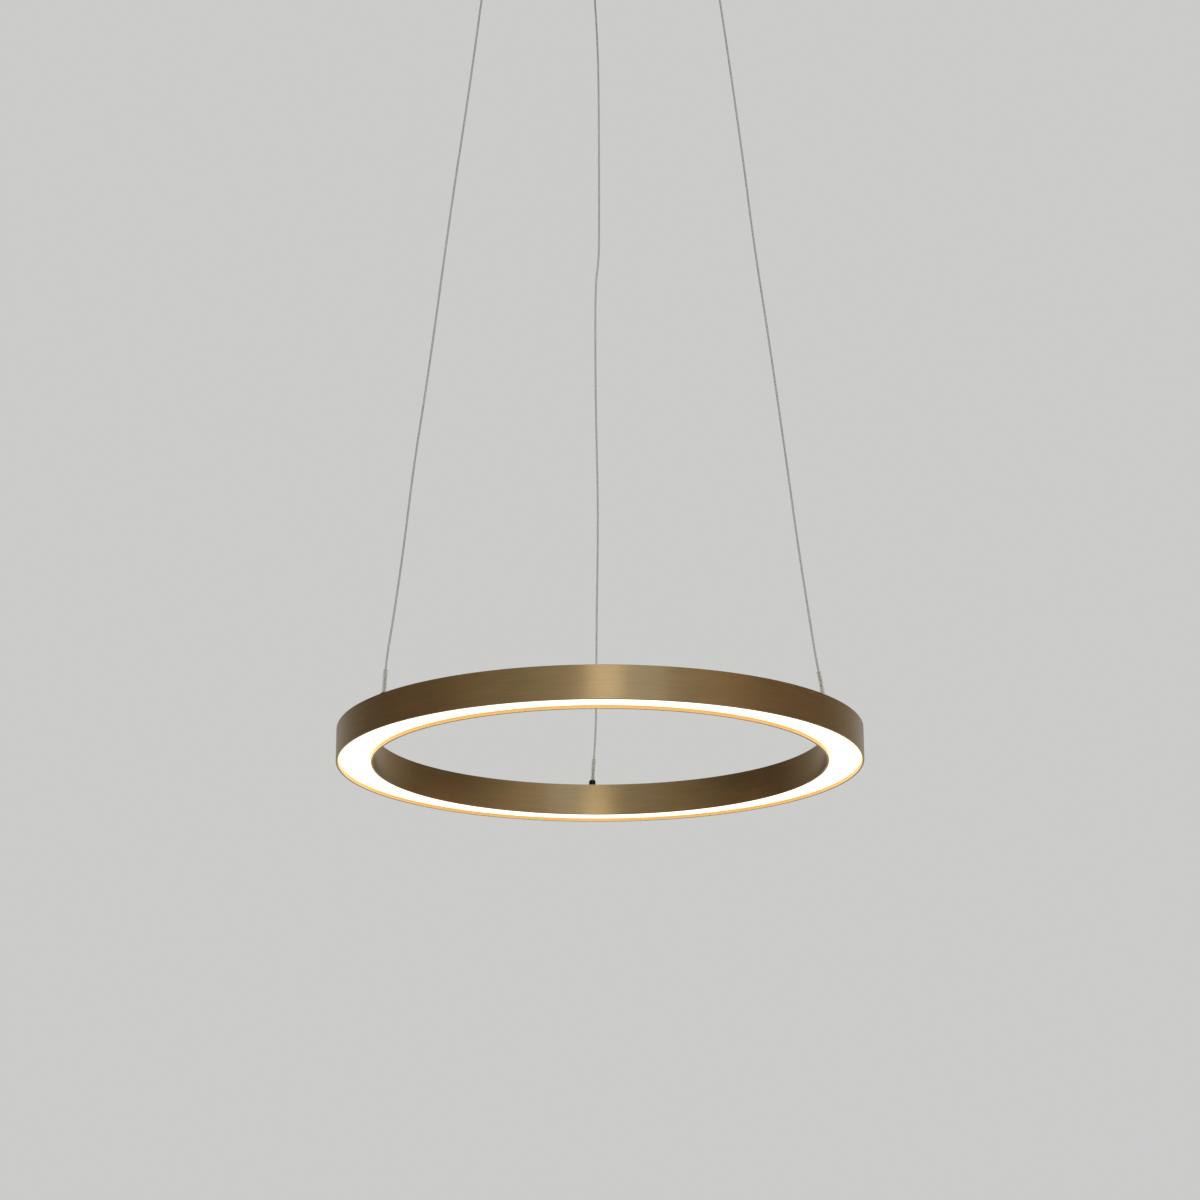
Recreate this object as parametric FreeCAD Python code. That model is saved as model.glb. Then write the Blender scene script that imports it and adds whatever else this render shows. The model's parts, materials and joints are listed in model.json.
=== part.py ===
# LED ring pendant: a slim brass-coloured ring with an opal diffuser underneath, hung level on three
# current-carrying wires from a round ceiling canopy that holds the driver.
# Millimetres, +Z up. The origin is on the ceiling, at the canopy's centre.
import FreeCAD, Part
import math
import os
from FreeCAD import Placement, Rotation, Vector

# ---- driving dimensions -------------------------------------------------------------------------
RING_OD = 400.0  # the ring's outside diameter
RING_WIDTH = 28.0  # radial width of the ring's channel section
RING_HEIGHT = 25.0  # height of the channel section
RING_WALL = 1.5  # sheet thickness of the channel
RECESS = 2.4  # how far the diffuser sits above the rims
DROP = 770.0  # ceiling to the ring's lowest face
CANOPY_OD = 230.0
CANOPY_HEIGHT = 30.0
CANOPY_WALL = 1.2
WIRE_DIA = 1.6  # suspension wire over its clear sheath
GRIP_RADIUS = 97.0  # wire adjusters' distance from the canopy's centre
FIXINGS = {"left": 210.0, "right": 330.0, "rear": 90.0}  # azimuth of each wire, degrees

# ---- the ring's section -------------------------------------------------------------------------
RING_OUT = RING_OD / 2
RING_IN = RING_OUT - RING_WIDTH
RING_MID = (RING_OUT + RING_IN) / 2
CHANNEL_OUT = RING_OUT - RING_WALL
CHANNEL_IN = RING_IN + RING_WALL
RING_BOTTOM = -DROP
RING_TOP = RING_BOTTOM + RING_HEIGHT
CHANNEL_TOP = RING_TOP - RING_WALL
EDGE_ROUND = 0.35  # broken outside edges of the channel
SNUG_GAP = 0.05  # round a piece that is pressed or pushed into another
SCREW_GAP = 0.2  # radial clearance of a screw in a plain hole

DIFFUSER_THICK = 2.0
DIFFUSER_LEG = 1.2  # thickness of the two side legs that press into the channel
DIFFUSER_LEG_HEIGHT = 3.4
DIFFUSER_BOTTOM = RING_BOTTOM + RECESS

CARRIER_THICK = 1.2
CARRIER_GAP = 1.0  # between the carrier's edges and the channel's walls
CARRIER_BOTTOM = RING_BOTTOM + 10.6
CARRIER_TOP = CARRIER_BOTTOM + CARRIER_THICK
BOARD_WIDTH = 10.0
BOARD_THICK = 1.0
CHIP_COUNT = 72
CHIP_SIZE = (3.5, 2.8, 0.8)  # along the ring, across it, high
POST_AZIMUTHS = (0.0, 60.0, 120.0, 180.0, 240.0, 300.0)
POST_RADIUS = 177.6
POST_DIA = 5.0
CARRIER_SCREW_DIA = 3.0
CARRIER_SCREW_HEAD = (4.8, 1.6)  # diameter, height
CARRIER_SCREW_BITE = 6.0  # thread above the carrier
CONNECTOR_AZIMUTH = 270.0
CONNECTOR_SIZE = (14.0, 9.0, 6.5)
LEAD_DIA = 1.2  # inner leads in the ring

# ---- the wires' fixings on the ring -------------------------------------------------------------
FITTING_DIA = 5.4
FITTING_HEIGHT = 6.8
FITTING_TIP_DIA = 3.8
FITTING_TIP_HEIGHT = 1.8  # rounded shoulder at the top
FITTING_SHANK_DIA = 4.0
FITTING_SHANK_LENGTH = 5.5
FITTING_BORE = 2.6
FITTING_NUT = (7.0, 2.2)  # across flats, thickness
FITTING_TOP = RING_TOP + FITTING_HEIGHT
SLEEVE_DIA = 3.2
SLEEVE_BORE = 2.4
SLEEVE_LENGTH = 18.0
FERRULE_DIA = 3.4
FERRULE_LENGTH = 6.0
FERRULE_RISE = 1.0  # of its lower end over the wire's end
FERRULE_TAB = (7.0, 3.0, 0.5)  # solder tab along the ring, across it, thick
LEAD_START = 2.0  # from the wire's centre to the lead's end on the tab

# ---- the wires' routes --------------------------------------------------------------------------
# Each point is (distance from the axis, sideways to the left of outward, height over the ring's bottom).
WIRE_ROUTES = {
    "left": [
        (186.0, 0.0, 12.0),
        (186.0, 0.0, 31.8),
        (184.5, 0.0, 57.0),
        (179.4, 0.0, 88.0),
        (171.8, 0.0, 143.0),
        (163.9, 0.0, 213.0),
        (152.8, 0.0, 286.0),
        (133.7, 0.0, 436.0),
        (122.2, 0.0, 514.0),
        (111.6, 0.0, 594.0),
        (97.0, 0.0, 714.0),
        (97.0, 0.0, 729.0),
    ],
    "right": [
        (186.0, 0.0, 12.0),
        (186.0, 0.0, 31.8),
        (181.2, 0.0, 57.0),
        (177.9, 0.0, 80.0),
        (168.9, 0.0, 145.0),
        (160.6, 0.0, 216.0),
        (147.0, 0.0, 326.0),
        (136.7, 0.0, 401.0),
        (128.6, 0.0, 477.0),
        (111.4, 0.0, 616.0),
        (97.0, 0.0, 714.0),
        (97.0, 0.0, 729.0),
    ],
    "rear": [
        (186.0, 0.0, 12.0),
        (186.0, 0.0, 31.8),
        (182.7, -2.0, 57.0),
        (178.4, -3.3, 90.0),
        (170.6, -3.2, 150.0),
        (156.9, -4.7, 255.0),
        (145.2, -2.3, 345.0),
        (134.7, -1.9, 425.0),
        (131.2, -2.5, 452.0),
        (129.1, -4.7, 468.0),
        (126.2, -5.1, 490.0),
        (115.8, -4.9, 570.0),
        (105.4, -4.2, 650.0),
        (97.0, 0.0, 714.0),
        (97.0, 0.0, 729.0),
    ],
}
ARC_SHARE = 0.45  # part of the shorter run that a bend takes up

# ---- canopy and bracket -------------------------------------------------------------------------
CANOPY_OUT = CANOPY_OD / 2
CANOPY_BOTTOM = -CANOPY_HEIGHT
CANOPY_FLOOR = CANOPY_BOTTOM + CANOPY_WALL
CANOPY_EDGE = 3.0  # outside radius of the canopy's lower edge
SIDE_SCREW_Z = -9.0
SIDE_SCREW_DIA = 4.0
SIDE_SCREW_HOLE = 4.5
SIDE_SCREW_HEAD = (8.0, 2.6)
SIDE_SCREW_REACH = 7.0  # how far the screw's end goes in past the canopy's wall

BRACKET_THICK = 1.5
BRACKET_WIDTH = 26.0
BRACKET_HALF = 112.6  # half of the bracket's length
EAR_WIDTH = 16.0
EAR_DROP = 16.0
SLOT_X = 80.0  # centre of each ceiling-screw slot
SLOT_LENGTH = 14.0
SLOT_WIDTH = 5.0
TAB_HALF = 20.0
TAB_FRONT = -74.0
GROMMET_Y = -62.0
GROMMET_HOLE = 12.0
GROMMET_DIA = 15.0
GROMMET_BORE = 8.0
GROMMET_LIP = 1.6

# ---- driver and terminals -----------------------------------------------------------------------
DRIVER_LENGTH = 110.0
DRIVER_WIDTH = 40.0
DRIVER_HEIGHT = 18.0
DRIVER_WALL = 1.5
DRIVER_LID = 2.0
DRIVER_FLANGE = 9.0
DRIVER_SCREW_X = 59.5
DRIVER_SCREW_DIA = 3.5
DRIVER_SCREW_HEAD = (6.5, 2.4)
DRIVER_BOARD = 1.6
DRIVER_BOARD_RISE = 3.0
DRIVER_BLOCKS = [  # size and centre of the transformer, two film capacitors and the input coil
    ((20.0, 18.0, 8.0), 8.0, 0.0),
    ((10.0, 8.0, 6.0), -18.0, 8.0),
    ((9.0, 6.0, 5.0), -18.0, -8.0),
    ((12.0, 10.0, 4.0), 30.0, 6.0),
]
DRIVER_DRUMS = [  # diameter, height and centre of the round capacitors
    (8.0, 7.0, -36.0, 5.0),
    (8.0, 7.0, -36.0, -6.0),
    (7.0, 6.0, 40.0, -8.0),
]
LID_BOTTOM = -BRACKET_THICK - DRIVER_LID
CASE_BOTTOM = -BRACKET_THICK - DRIVER_HEIGHT
TERMINAL_SIZE = (32.0, 18.0, 13.0)
TERMINAL_Y = -41.0
TERMINAL_POLES = (-10.0, 0.0, 10.0)
TERMINAL_SCREW_DIA = 4.0
TERMINAL_SCREW_SINK = 1.0  # of the screws below the terminal's face
TERMINAL_SCREW_SLOT = (0.7, 1.0)  # width, depth
TERMINAL_WELL_DEPTH = 5.0
EARTH_SCREW = (10.0, -25.0)
EARTH_SCREW_DIA = 4.0
EARTH_SCREW_HEAD = (7.0, 2.4)
EARTH_LEAD_DIA = 2.0
MAINS_LEAD_DIA = 2.2
MAINS_LEAD_Z = -11.0
LIVE_LANE = 3.2  # how far the live lead runs outside the neutral one
LIVE_ENTRY = -6.0  # where the live lead enters the driver's end wall
NEUTRAL_ENTRY = -12.0
TAIL_Z = -8.0  # height of the wires' inner ends
TAIL_ROUTES = {  # where each inner end runs at that height, after the bend over its adjuster
    "left": [
        (-80.0, -25.0),
        (-62.0, 26.0),
        (-20.0, 33.0),
        (22.0, 30.0),
        (56.0, 31.0),
        (73.0, 20.0),
        (70.0, 5.0),
        (DRIVER_LENGTH / 2, 5.0),
    ],
    "right": [(80.0, -25.0), (72.0, -8.0), (DRIVER_LENGTH / 2, -8.0)],
    "rear": [(6.0, 74.0), (24.0, 64.0), (42.0, 70.0)],
}

# ---- wire adjusters, heights measured from the canopy's lower face -------------------------------
BARREL_DIA = 11.0
BARREL_LENGTH = 15.0
BARREL_EDGE = 0.8
STUD_DIA = 9.6
STUD_HOLE = 9.8
STUD_TOP = 9.0
CHAMBER_DIA = 7.4
CHAMBER_TOP = 6.0
CONE_TOP = -6.0
CONE_BOTTOM = -11.0
GUIDE_DIA = 5.2
GRIP_BORE = 2.4
GRIP_NUT = (14.0, 3.0)
PLUNGER_DIA = 5.08
PLUNGER_TIP = -19.5
PLUNGER_EDGE = 0.5
FLANGE_DIA = 7.2
FLANGE_LOW = -4.5
FLANGE_HIGH = -3.0
BALL_DIA = 2.3
BALL_RADIUS = 1.98  # of the circle that the balls' centres lie on
BALL_Z = -8.0
BALL_HOLE = 2.4
BALL_TURNS = (0.0, 120.0, 240.0)
SPRING_WIRE = 0.45
SPRING_DIA = 6.8
SPRING_TURNS = 6.0
CLOSE_GAP = 0.02  # between a spring, a screw's head or a crimp and what it bears on

UP = Vector(0, 0, 1)


# ---- helpers ------------------------------------------------------------------------------------
def polar(radius, azimuth, z, sideways=0.0):
    """The point at that distance from the axis, turned to azimuth, and moved sideways."""
    c, s = math.cos(math.radians(azimuth)), math.sin(math.radians(azimuth))
    return Vector(radius * c - sideways * s, radius * s + sideways * c, z)


def rod(diameter, low, high, x=0.0, y=0.0):
    """A vertical cylinder between two heights."""
    return Part.makeCylinder(diameter / 2, high - low, Vector(x, y, low))


def block(size, centre_x, centre_y, low):
    """A box of that size standing on the height low, centred on x and y."""
    along, across, high = size
    return Part.makeBox(along, across, high, Vector(centre_x - along / 2, centre_y - across / 2, low))


def ring(inner, outer, low, high):
    """A flat ring round the Z axis."""
    return rod(2 * outer, low, high).cut(rod(2 * inner, low, high))


def revolve(outline):
    """A solid of revolution from a closed outline of (radius, height) points."""
    face = Part.Face(Part.makePolygon([Vector(r, 0, z) for r, z in outline + outline[:1]]))
    return face.revolve(Vector(0, 0, 0), UP, 360)


def hexagon(flats, low, high, bore):
    """A hexagon nut on the Z axis."""
    corner = flats / math.sqrt(3)
    points = [polar(corner, 60 * k, low) for k in range(7)]
    return Part.Face(Part.makePolygon(points)).extrude(UP * (high - low)).cut(rod(bore, low, high))


def screw(shank, head, low, high):
    """A screw on the Z axis: its pan head hangs below low, and its shank reaches up to high."""
    cap = rod(head[0], low - head[1], low)
    rim = [edge for edge in cap.Edges if edge.Closed and edge.BoundBox.ZMax < low - head[1] / 2]
    slot = block((head[0], head[0] / 8, head[1] / 2), 0, 0, low - head[1])
    return cap.makeFillet(head[1] / 3, rim).fuse(rod(shank, low, high)).cut(slot)


def placed(shape, x, y, z=0.0, turn=0.0):
    """A copy of shape, turned about Z and then moved."""
    copy = shape.copy()
    copy.Placement = Placement(Vector(x, y, z), Rotation(UP, turn)).multiply(copy.Placement)
    return copy


def group(solids):
    """Several separate solids in one node."""
    return Part.makeCompound(solids)


def path(points):
    """Straight runs joined by tangent arcs, and the arcs' radii."""
    edges, radii, start = [], [], points[0]
    for before, corner, after in zip(points, points[1:], points[2:]):
        arrive, leave = (corner - before), (after - corner)
        tangent = ARC_SHARE * min(arrive.Length, leave.Length)
        arrive.normalize()
        leave.normalize()
        half = math.acos(max(-1.0, min(1.0, arrive.dot(leave)))) / 2
        radius = tangent / math.tan(half)
        inward = (leave - arrive).normalize()
        middle = corner + inward * (radius / math.cos(half) - radius)
        first, last = corner - arrive * tangent, corner + leave * tangent
        edges += [Part.LineSegment(start, first).toShape(), Part.Arc(first, middle, last).toShape()]
        radii.append(radius)
        start = last
    edges.append(Part.LineSegment(start, points[-1]).toShape())
    return Part.Wire(edges), radii


def tube(name, points, diameter):
    """A solid cord along a route, with its radii and its volume's share of section times length printed."""
    line, radii = path(points)
    heading = points[1] - points[0]
    section = Part.Wire(Part.Circle(points[0], heading, diameter / 2).toShape())
    solid = line.makePipeShell([section], True, False)
    share = solid.Volume / (math.pi * diameter**2 / 4 * line.Length)
    print(f"{name}: length {line.Length:.1f}, volume share {share:.4f}, radii {[round(r, 1) for r in radii]}")
    return solid


# ---- the ring -----------------------------------------------------------------------------------
def ring_housing():
    """Rolled channel, open downwards, with a hole in its top for each cable fitting."""
    e = EDGE_ROUND
    outline = [
        (RING_OUT - e, RING_TOP),
        (RING_OUT, RING_TOP - e),
        (RING_OUT, RING_BOTTOM + e),
        (RING_OUT - e, RING_BOTTOM),
        (CHANNEL_OUT, RING_BOTTOM),
        (CHANNEL_OUT, CHANNEL_TOP),
        (CHANNEL_IN, CHANNEL_TOP),
        (CHANNEL_IN, RING_BOTTOM),
        (RING_IN + e, RING_BOTTOM),
        (RING_IN, RING_BOTTOM + e),
        (RING_IN, RING_TOP - e),
        (RING_IN + e, RING_TOP),
    ]
    housing = revolve(outline)
    for azimuth in FIXINGS.values():
        hole = polar(RING_MID, azimuth, 0)
        housing = housing.cut(rod(FITTING_SHANK_DIA + 2 * SNUG_GAP, CHANNEL_TOP, RING_TOP, hole.x, hole.y))
    return housing


def diffuser():
    """Opal cover with two upstanding legs that press into the channel."""
    outer, inner = CHANNEL_OUT - SNUG_GAP, CHANNEL_IN + SNUG_GAP
    face = DIFFUSER_BOTTOM + DIFFUSER_THICK
    plate = ring(inner, outer, DIFFUSER_BOTTOM, face)
    outer_leg = ring(outer - DIFFUSER_LEG, outer, face, face + DIFFUSER_LEG_HEIGHT)
    inner_leg = ring(inner, inner + DIFFUSER_LEG, face, face + DIFFUSER_LEG_HEIGHT)
    return plate.fuse([outer_leg, inner_leg]).removeSplitter()


def led_carrier():
    """Flat aluminium ring that the LED board is bonded to."""
    carrier = ring(CHANNEL_IN + CARRIER_GAP, CHANNEL_OUT - CARRIER_GAP, CARRIER_BOTTOM, CARRIER_TOP)
    for azimuth in POST_AZIMUTHS:
        hole = polar(POST_RADIUS, azimuth, 0)
        carrier = carrier.cut(rod(CARRIER_SCREW_DIA + SCREW_GAP, CARRIER_BOTTOM, CARRIER_TOP, hole.x, hole.y))
    return carrier


def led_board():
    """Narrow circuit-board ring under the carrier."""
    half = BOARD_WIDTH / 2
    return ring(RING_MID - half, RING_MID + half, CARRIER_BOTTOM - BOARD_THICK, CARRIER_BOTTOM)


def led_chips():
    """The LEDs, evenly spaced under the board."""
    along, across, high = CHIP_SIZE
    top = CARRIER_BOTTOM - BOARD_THICK
    chip = block((across, along, high), 0, 0, top - high)
    spots = [(polar(RING_MID, 360 * k / CHIP_COUNT, 0), 360 * k / CHIP_COUNT) for k in range(CHIP_COUNT)]
    return group([placed(chip, spot.x, spot.y, 0, turn) for spot, turn in spots])


def carrier_posts():
    """Threaded studs welded under the channel's top, which the carrier is screwed to."""
    post = rod(POST_DIA, CARRIER_TOP, CHANNEL_TOP)
    post = post.cut(rod(CARRIER_SCREW_DIA, CARRIER_TOP, CARRIER_TOP + CARRIER_SCREW_BITE))
    return group([placed(post, *polar(POST_RADIUS, azimuth, 0)[:2]) for azimuth in POST_AZIMUTHS])


def carrier_screws():
    """Pan-head screws that hold the carrier to its posts."""
    one = screw(CARRIER_SCREW_DIA, CARRIER_SCREW_HEAD, CARRIER_BOTTOM, CARRIER_TOP + CARRIER_SCREW_BITE)
    return group([placed(one, *polar(POST_RADIUS, azimuth, 0)[:2]) for azimuth in POST_AZIMUTHS])


def ring_connector():
    """Two-pole connector on the carrier, where the two live wires meet the board."""
    spot = polar(RING_MID, CONNECTOR_AZIMUTH, 0)
    return block(CONNECTOR_SIZE, spot.x, spot.y, CARRIER_TOP)


def led_lead(side):
    """Lead from a ferrule's tab round the channel to the connector."""
    centre_z = RING_BOTTOM + WIRE_ROUTES[side][0][2] + FERRULE_RISE + FERRULE_TAB[2] + LEAD_DIA / 2
    towards = 1 if CONNECTOR_AZIMUTH > FIXINGS[side] else -1
    start = FIXINGS[side] + towards * math.degrees(LEAD_START / RING_MID)
    stop = CONNECTOR_AZIMUTH - towards * math.degrees(CONNECTOR_SIZE[0] / 2 / RING_MID)
    low, high = sorted((start, stop))
    section = Part.Wire(Part.Circle(Vector(RING_MID, 0, centre_z), Vector(0, 1, 0), LEAD_DIA / 2).toShape())
    lead = Part.Face(section).revolve(Vector(0, 0, 0), UP, high - low)
    lead.Placement = Placement(Vector(0, 0, 0), Rotation(UP, low))
    return lead


# ---- the wires' fixings on the ring -------------------------------------------------------------
def cable_fitting(side):
    """Dark bored stud that brings the wire through the channel's top."""
    half, tip = FITTING_DIA / 2, FITTING_TIP_DIA / 2
    shoulder = FITTING_TOP - FITTING_TIP_HEIGHT
    shank, low = FITTING_SHANK_DIA / 2, CHANNEL_TOP - FITTING_SHANK_LENGTH + RING_WALL
    bore = FITTING_BORE / 2
    outline = [
        (bore, low),
        (shank, low),
        (shank, RING_TOP),
        (half, RING_TOP),
        (half, shoulder),
        ((half * 2 + tip) / 3, FITTING_TOP - FITTING_TIP_HEIGHT / 3),
        (tip, FITTING_TOP),
        (bore, FITTING_TOP),
    ]
    return placed(revolve(outline), *polar(RING_MID, FIXINGS[side], 0)[:2])


def fitting_nuts():
    """Thin nuts that clamp the fittings under the channel's top."""
    nut = hexagon(FITTING_NUT[0], CHANNEL_TOP - FITTING_NUT[1], CHANNEL_TOP, FITTING_SHANK_DIA)
    return group([placed(nut, *polar(RING_MID, azimuth, 0)[:2], 0, azimuth) for azimuth in FIXINGS.values()])


def wire_points(side):
    """The suspension wire's route, from under its ferrule in the ring to the adjuster's jaws."""
    azimuth = FIXINGS[side]
    return [polar(out, azimuth, RING_BOTTOM + height, aside) for out, aside, height in WIRE_ROUTES[side]]


def wire_sleeve(side):
    """Clear strain-relief sleeve that stands on the fitting, in line with the wire's first free run."""
    foot, top = wire_points(side)[1:3]
    along = (top - foot).normalize()
    start = foot - along * SLEEVE_DIA
    length = SLEEVE_DIA + SLEEVE_LENGTH
    outside = Part.makeCylinder(SLEEVE_DIA / 2, length, start, along)
    inside = Part.makeCylinder(SLEEVE_BORE / 2, length, start, along)
    below = block((length, length, length), foot.x, foot.y, FITTING_TOP - length)
    return outside.cut(inside).cut(below)


def wire_ferrule(side):
    """Crimped stop under the fitting, with a solder tab."""
    foot = wire_points(side)[0]
    low = foot.z + FERRULE_RISE
    barrel = rod(FERRULE_DIA, low, low + FERRULE_LENGTH)
    towards = 1 if CONNECTOR_AZIMUTH > FIXINGS[side] else -1
    along, across, thick = FERRULE_TAB
    tab = block((across, along, thick), 0, towards * along / 2, low)
    ferrule = barrel.fuse(tab).cut(rod(WIRE_DIA + CLOSE_GAP, low, low + FERRULE_LENGTH))
    return placed(ferrule, foot.x, foot.y, 0, FIXINGS[side])


def suspension_wire(side):
    """Steel-cored wire in a clear sheath."""
    return tube(f"suspension_wire_{side}", wire_points(side), WIRE_DIA)


# ---- canopy and bracket -------------------------------------------------------------------------
def canopy_cover():
    """Shallow spun cup, open towards the ceiling."""
    outer = rod(CANOPY_OD, CANOPY_BOTTOM, 0)
    rim = [edge for edge in outer.Edges if edge.Closed and edge.BoundBox.ZMax < CANOPY_BOTTOM / 2]
    outer = outer.makeFillet(CANOPY_EDGE, rim)
    inner = rod(CANOPY_OD - 2 * CANOPY_WALL, CANOPY_FLOOR, 0)
    rim = [edge for edge in inner.Edges if edge.Closed and edge.BoundBox.ZMax < CANOPY_BOTTOM / 2]
    cover = outer.cut(inner.makeFillet(CANOPY_EDGE - CANOPY_WALL, rim))
    for azimuth in FIXINGS.values():
        hole = polar(GRIP_RADIUS, azimuth, 0)
        cover = cover.cut(rod(STUD_HOLE, CANOPY_BOTTOM, CANOPY_FLOOR, hole.x, hole.y))
    drill = Part.makeCylinder(
        SIDE_SCREW_HOLE / 2, CANOPY_OD, Vector(-CANOPY_OUT, 0, SIDE_SCREW_Z), Vector(1, 0, 0)
    )
    return cover.cut(drill)


def ceiling_bracket():
    """Slotted strip with an ear at each end for the side screws, and a tab for the terminals."""
    strip = block((2 * BRACKET_HALF, BRACKET_WIDTH, BRACKET_THICK), 0, 0, -BRACKET_THICK)
    tab_length = -TAB_FRONT
    tab = block((2 * TAB_HALF, tab_length, BRACKET_THICK), 0, TAB_FRONT / 2, -BRACKET_THICK)
    ears = []
    for way in (-1, 1):
        centre = way * (BRACKET_HALF - BRACKET_THICK / 2)
        ears.append(block((BRACKET_THICK, EAR_WIDTH, EAR_DROP), centre, 0, -EAR_DROP))
    bracket = strip.fuse([tab] + ears).removeSplitter()
    drill = Part.makeCylinder(
        SIDE_SCREW_DIA / 2, CANOPY_OD, Vector(-CANOPY_OUT, 0, SIDE_SCREW_Z), Vector(1, 0, 0)
    )
    cuts = [drill, rod(GROMMET_HOLE, -BRACKET_THICK, 0, 0, GROMMET_Y)]
    straight = SLOT_LENGTH - SLOT_WIDTH
    for way in (-1, 1):
        cuts.append(block((straight, SLOT_WIDTH, BRACKET_THICK), way * SLOT_X, 0, -BRACKET_THICK))
        for end in (-1, 1):
            cuts.append(rod(SLOT_WIDTH, -BRACKET_THICK, 0, way * SLOT_X + end * straight / 2, 0))
        cuts.append(rod(DRIVER_SCREW_DIA, -BRACKET_THICK, 0, way * DRIVER_SCREW_X, 0))
    cuts.append(rod(EARTH_SCREW_DIA, -BRACKET_THICK, 0, *EARTH_SCREW))
    for cut in cuts:
        bracket = bracket.cut(cut)
    return bracket


def side_screws():
    """Two screws through the canopy's wall into the bracket's ears."""
    one = screw(SIDE_SCREW_DIA, SIDE_SCREW_HEAD, 0, CANOPY_WALL + SIDE_SCREW_REACH)
    screws = []
    for turn, way in ((90, -1), (-90, 1)):
        copy = one.copy()
        seat = Vector(way * (CANOPY_OUT + CLOSE_GAP), 0, SIDE_SCREW_Z)
        copy.Placement = Placement(seat, Rotation(Vector(0, 1, 0), turn))
        screws.append(copy)
    return group(screws)


def inlet_grommet():
    """Rubber grommet round the mains cable's hole in the bracket."""
    lip, hole = GROMMET_DIA / 2, GROMMET_HOLE / 2
    outline = [
        (GROMMET_BORE / 2, -BRACKET_THICK - GROMMET_LIP),
        (lip, -BRACKET_THICK - GROMMET_LIP),
        (lip, -BRACKET_THICK),
        (hole, -BRACKET_THICK),
        (hole, 0),
        (GROMMET_BORE / 2, 0),
    ]
    return placed(revolve(outline), 0, GROMMET_Y)


# ---- driver and terminals -----------------------------------------------------------------------
def driver_case():
    """The driver's tray, open towards its lid."""
    height = LID_BOTTOM - CASE_BOTTOM
    outside = block((DRIVER_LENGTH, DRIVER_WIDTH, height), 0, 0, CASE_BOTTOM)
    hollow = (DRIVER_LENGTH - 2 * DRIVER_WALL, DRIVER_WIDTH - 2 * DRIVER_WALL, height)
    return outside.cut(block(hollow, 0, 0, CASE_BOTTOM + DRIVER_WALL))


def driver_lid():
    """The driver's lid, whose ends are flanges against the bracket."""
    lid = block((DRIVER_LENGTH + 2 * DRIVER_FLANGE, DRIVER_WIDTH, DRIVER_LID), 0, 0, LID_BOTTOM)
    for way in (-1, 1):
        lid = lid.cut(rod(DRIVER_SCREW_DIA + SCREW_GAP, LID_BOTTOM, -BRACKET_THICK, way * DRIVER_SCREW_X, 0))
    return lid


def driver_board():
    """The driver's circuit board."""
    size = (DRIVER_LENGTH - 4 * DRIVER_WALL, DRIVER_WIDTH - 4 * DRIVER_WALL, DRIVER_BOARD)
    return block(size, 0, 0, CASE_BOTTOM + DRIVER_WALL + DRIVER_BOARD_RISE)


def driver_components():
    """Transformer, capacitors and coils on the driver's board."""
    base = CASE_BOTTOM + DRIVER_WALL + DRIVER_BOARD_RISE + DRIVER_BOARD
    solids = [block(size, x, y, base) for size, x, y in DRIVER_BLOCKS]
    solids += [rod(diameter, base, base + height, x, y) for diameter, height, x, y in DRIVER_DRUMS]
    return group(solids)


def driver_screws():
    """Two screws that hold the driver's flanges to the bracket."""
    one = screw(DRIVER_SCREW_DIA, DRIVER_SCREW_HEAD, LID_BOTTOM, 0)
    return group([placed(one, way * DRIVER_SCREW_X, 0) for way in (-1, 1)])


def terminal_block():
    """Three-pole mains terminal under the bracket's tab."""
    low = -BRACKET_THICK - TERMINAL_SIZE[2]
    body = block(TERMINAL_SIZE, 0, TERMINAL_Y, low)
    for x in TERMINAL_POLES:
        body = body.cut(rod(TERMINAL_SCREW_DIA + SCREW_GAP, low, low + TERMINAL_WELL_DEPTH, x, TERMINAL_Y))
    return body


def terminal_screws():
    """The terminal's three clamp screws, in their wells."""
    face = -BRACKET_THICK - TERMINAL_SIZE[2]
    low = face + TERMINAL_SCREW_SINK
    width, depth = TERMINAL_SCREW_SLOT
    slot = block((TERMINAL_SCREW_DIA, width, depth), 0, 0, low)
    one = rod(TERMINAL_SCREW_DIA, low, face + TERMINAL_WELL_DEPTH).cut(slot)
    return group([placed(one, x, TERMINAL_Y) for x in TERMINAL_POLES])


def earth_screw():
    """Earth screw in the bracket's tab."""
    return placed(screw(EARTH_SCREW_DIA, EARTH_SCREW_HEAD, -BRACKET_THICK, 0), *EARTH_SCREW)


def earth_lead():
    """Earth lead from the terminal to the earth screw's head."""
    face = TERMINAL_Y + TERMINAL_SIZE[1] / 2
    reach = EARTH_SCREW[1] - EARTH_SCREW_HEAD[0] / 2
    z = -BRACKET_THICK - EARTH_SCREW_HEAD[1] / 2
    points = [Vector(TERMINAL_POLES[2], face, z), Vector(EARTH_SCREW[0], reach, z)]
    return tube("earth_lead", points, EARTH_LEAD_DIA)


def mains_lead(name, pole, lane, entry):
    """Lead from a terminal pole round to the driver's end wall."""
    face = TERMINAL_Y + TERMINAL_SIZE[1] / 2
    end = -DRIVER_LENGTH / 2
    turn_x = end - 2 * MAINS_LEAD_DIA - lane
    turn_y = -DRIVER_WIDTH / 2 - MAINS_LEAD_DIA - lane
    flat = [(pole, face), (pole, turn_y), (turn_x, turn_y), (turn_x, entry), (end, entry)]
    return tube(name, [Vector(x, y, MAINS_LEAD_Z) for x, y in flat], MAINS_LEAD_DIA)


def wire_tail(side):
    """The wire's inner end, from the adjuster's jaws on into the canopy."""
    grip = polar(GRIP_RADIUS, FIXINGS[side], RING_BOTTOM + WIRE_ROUTES[side][-1][2])
    inside = [Vector(x, y, TAIL_Z) for x, y in TAIL_ROUTES[side]]
    return tube(f"wire_tail_{side}", [grip, Vector(grip.x, grip.y, TAIL_Z)] + inside, WIRE_DIA)


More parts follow.
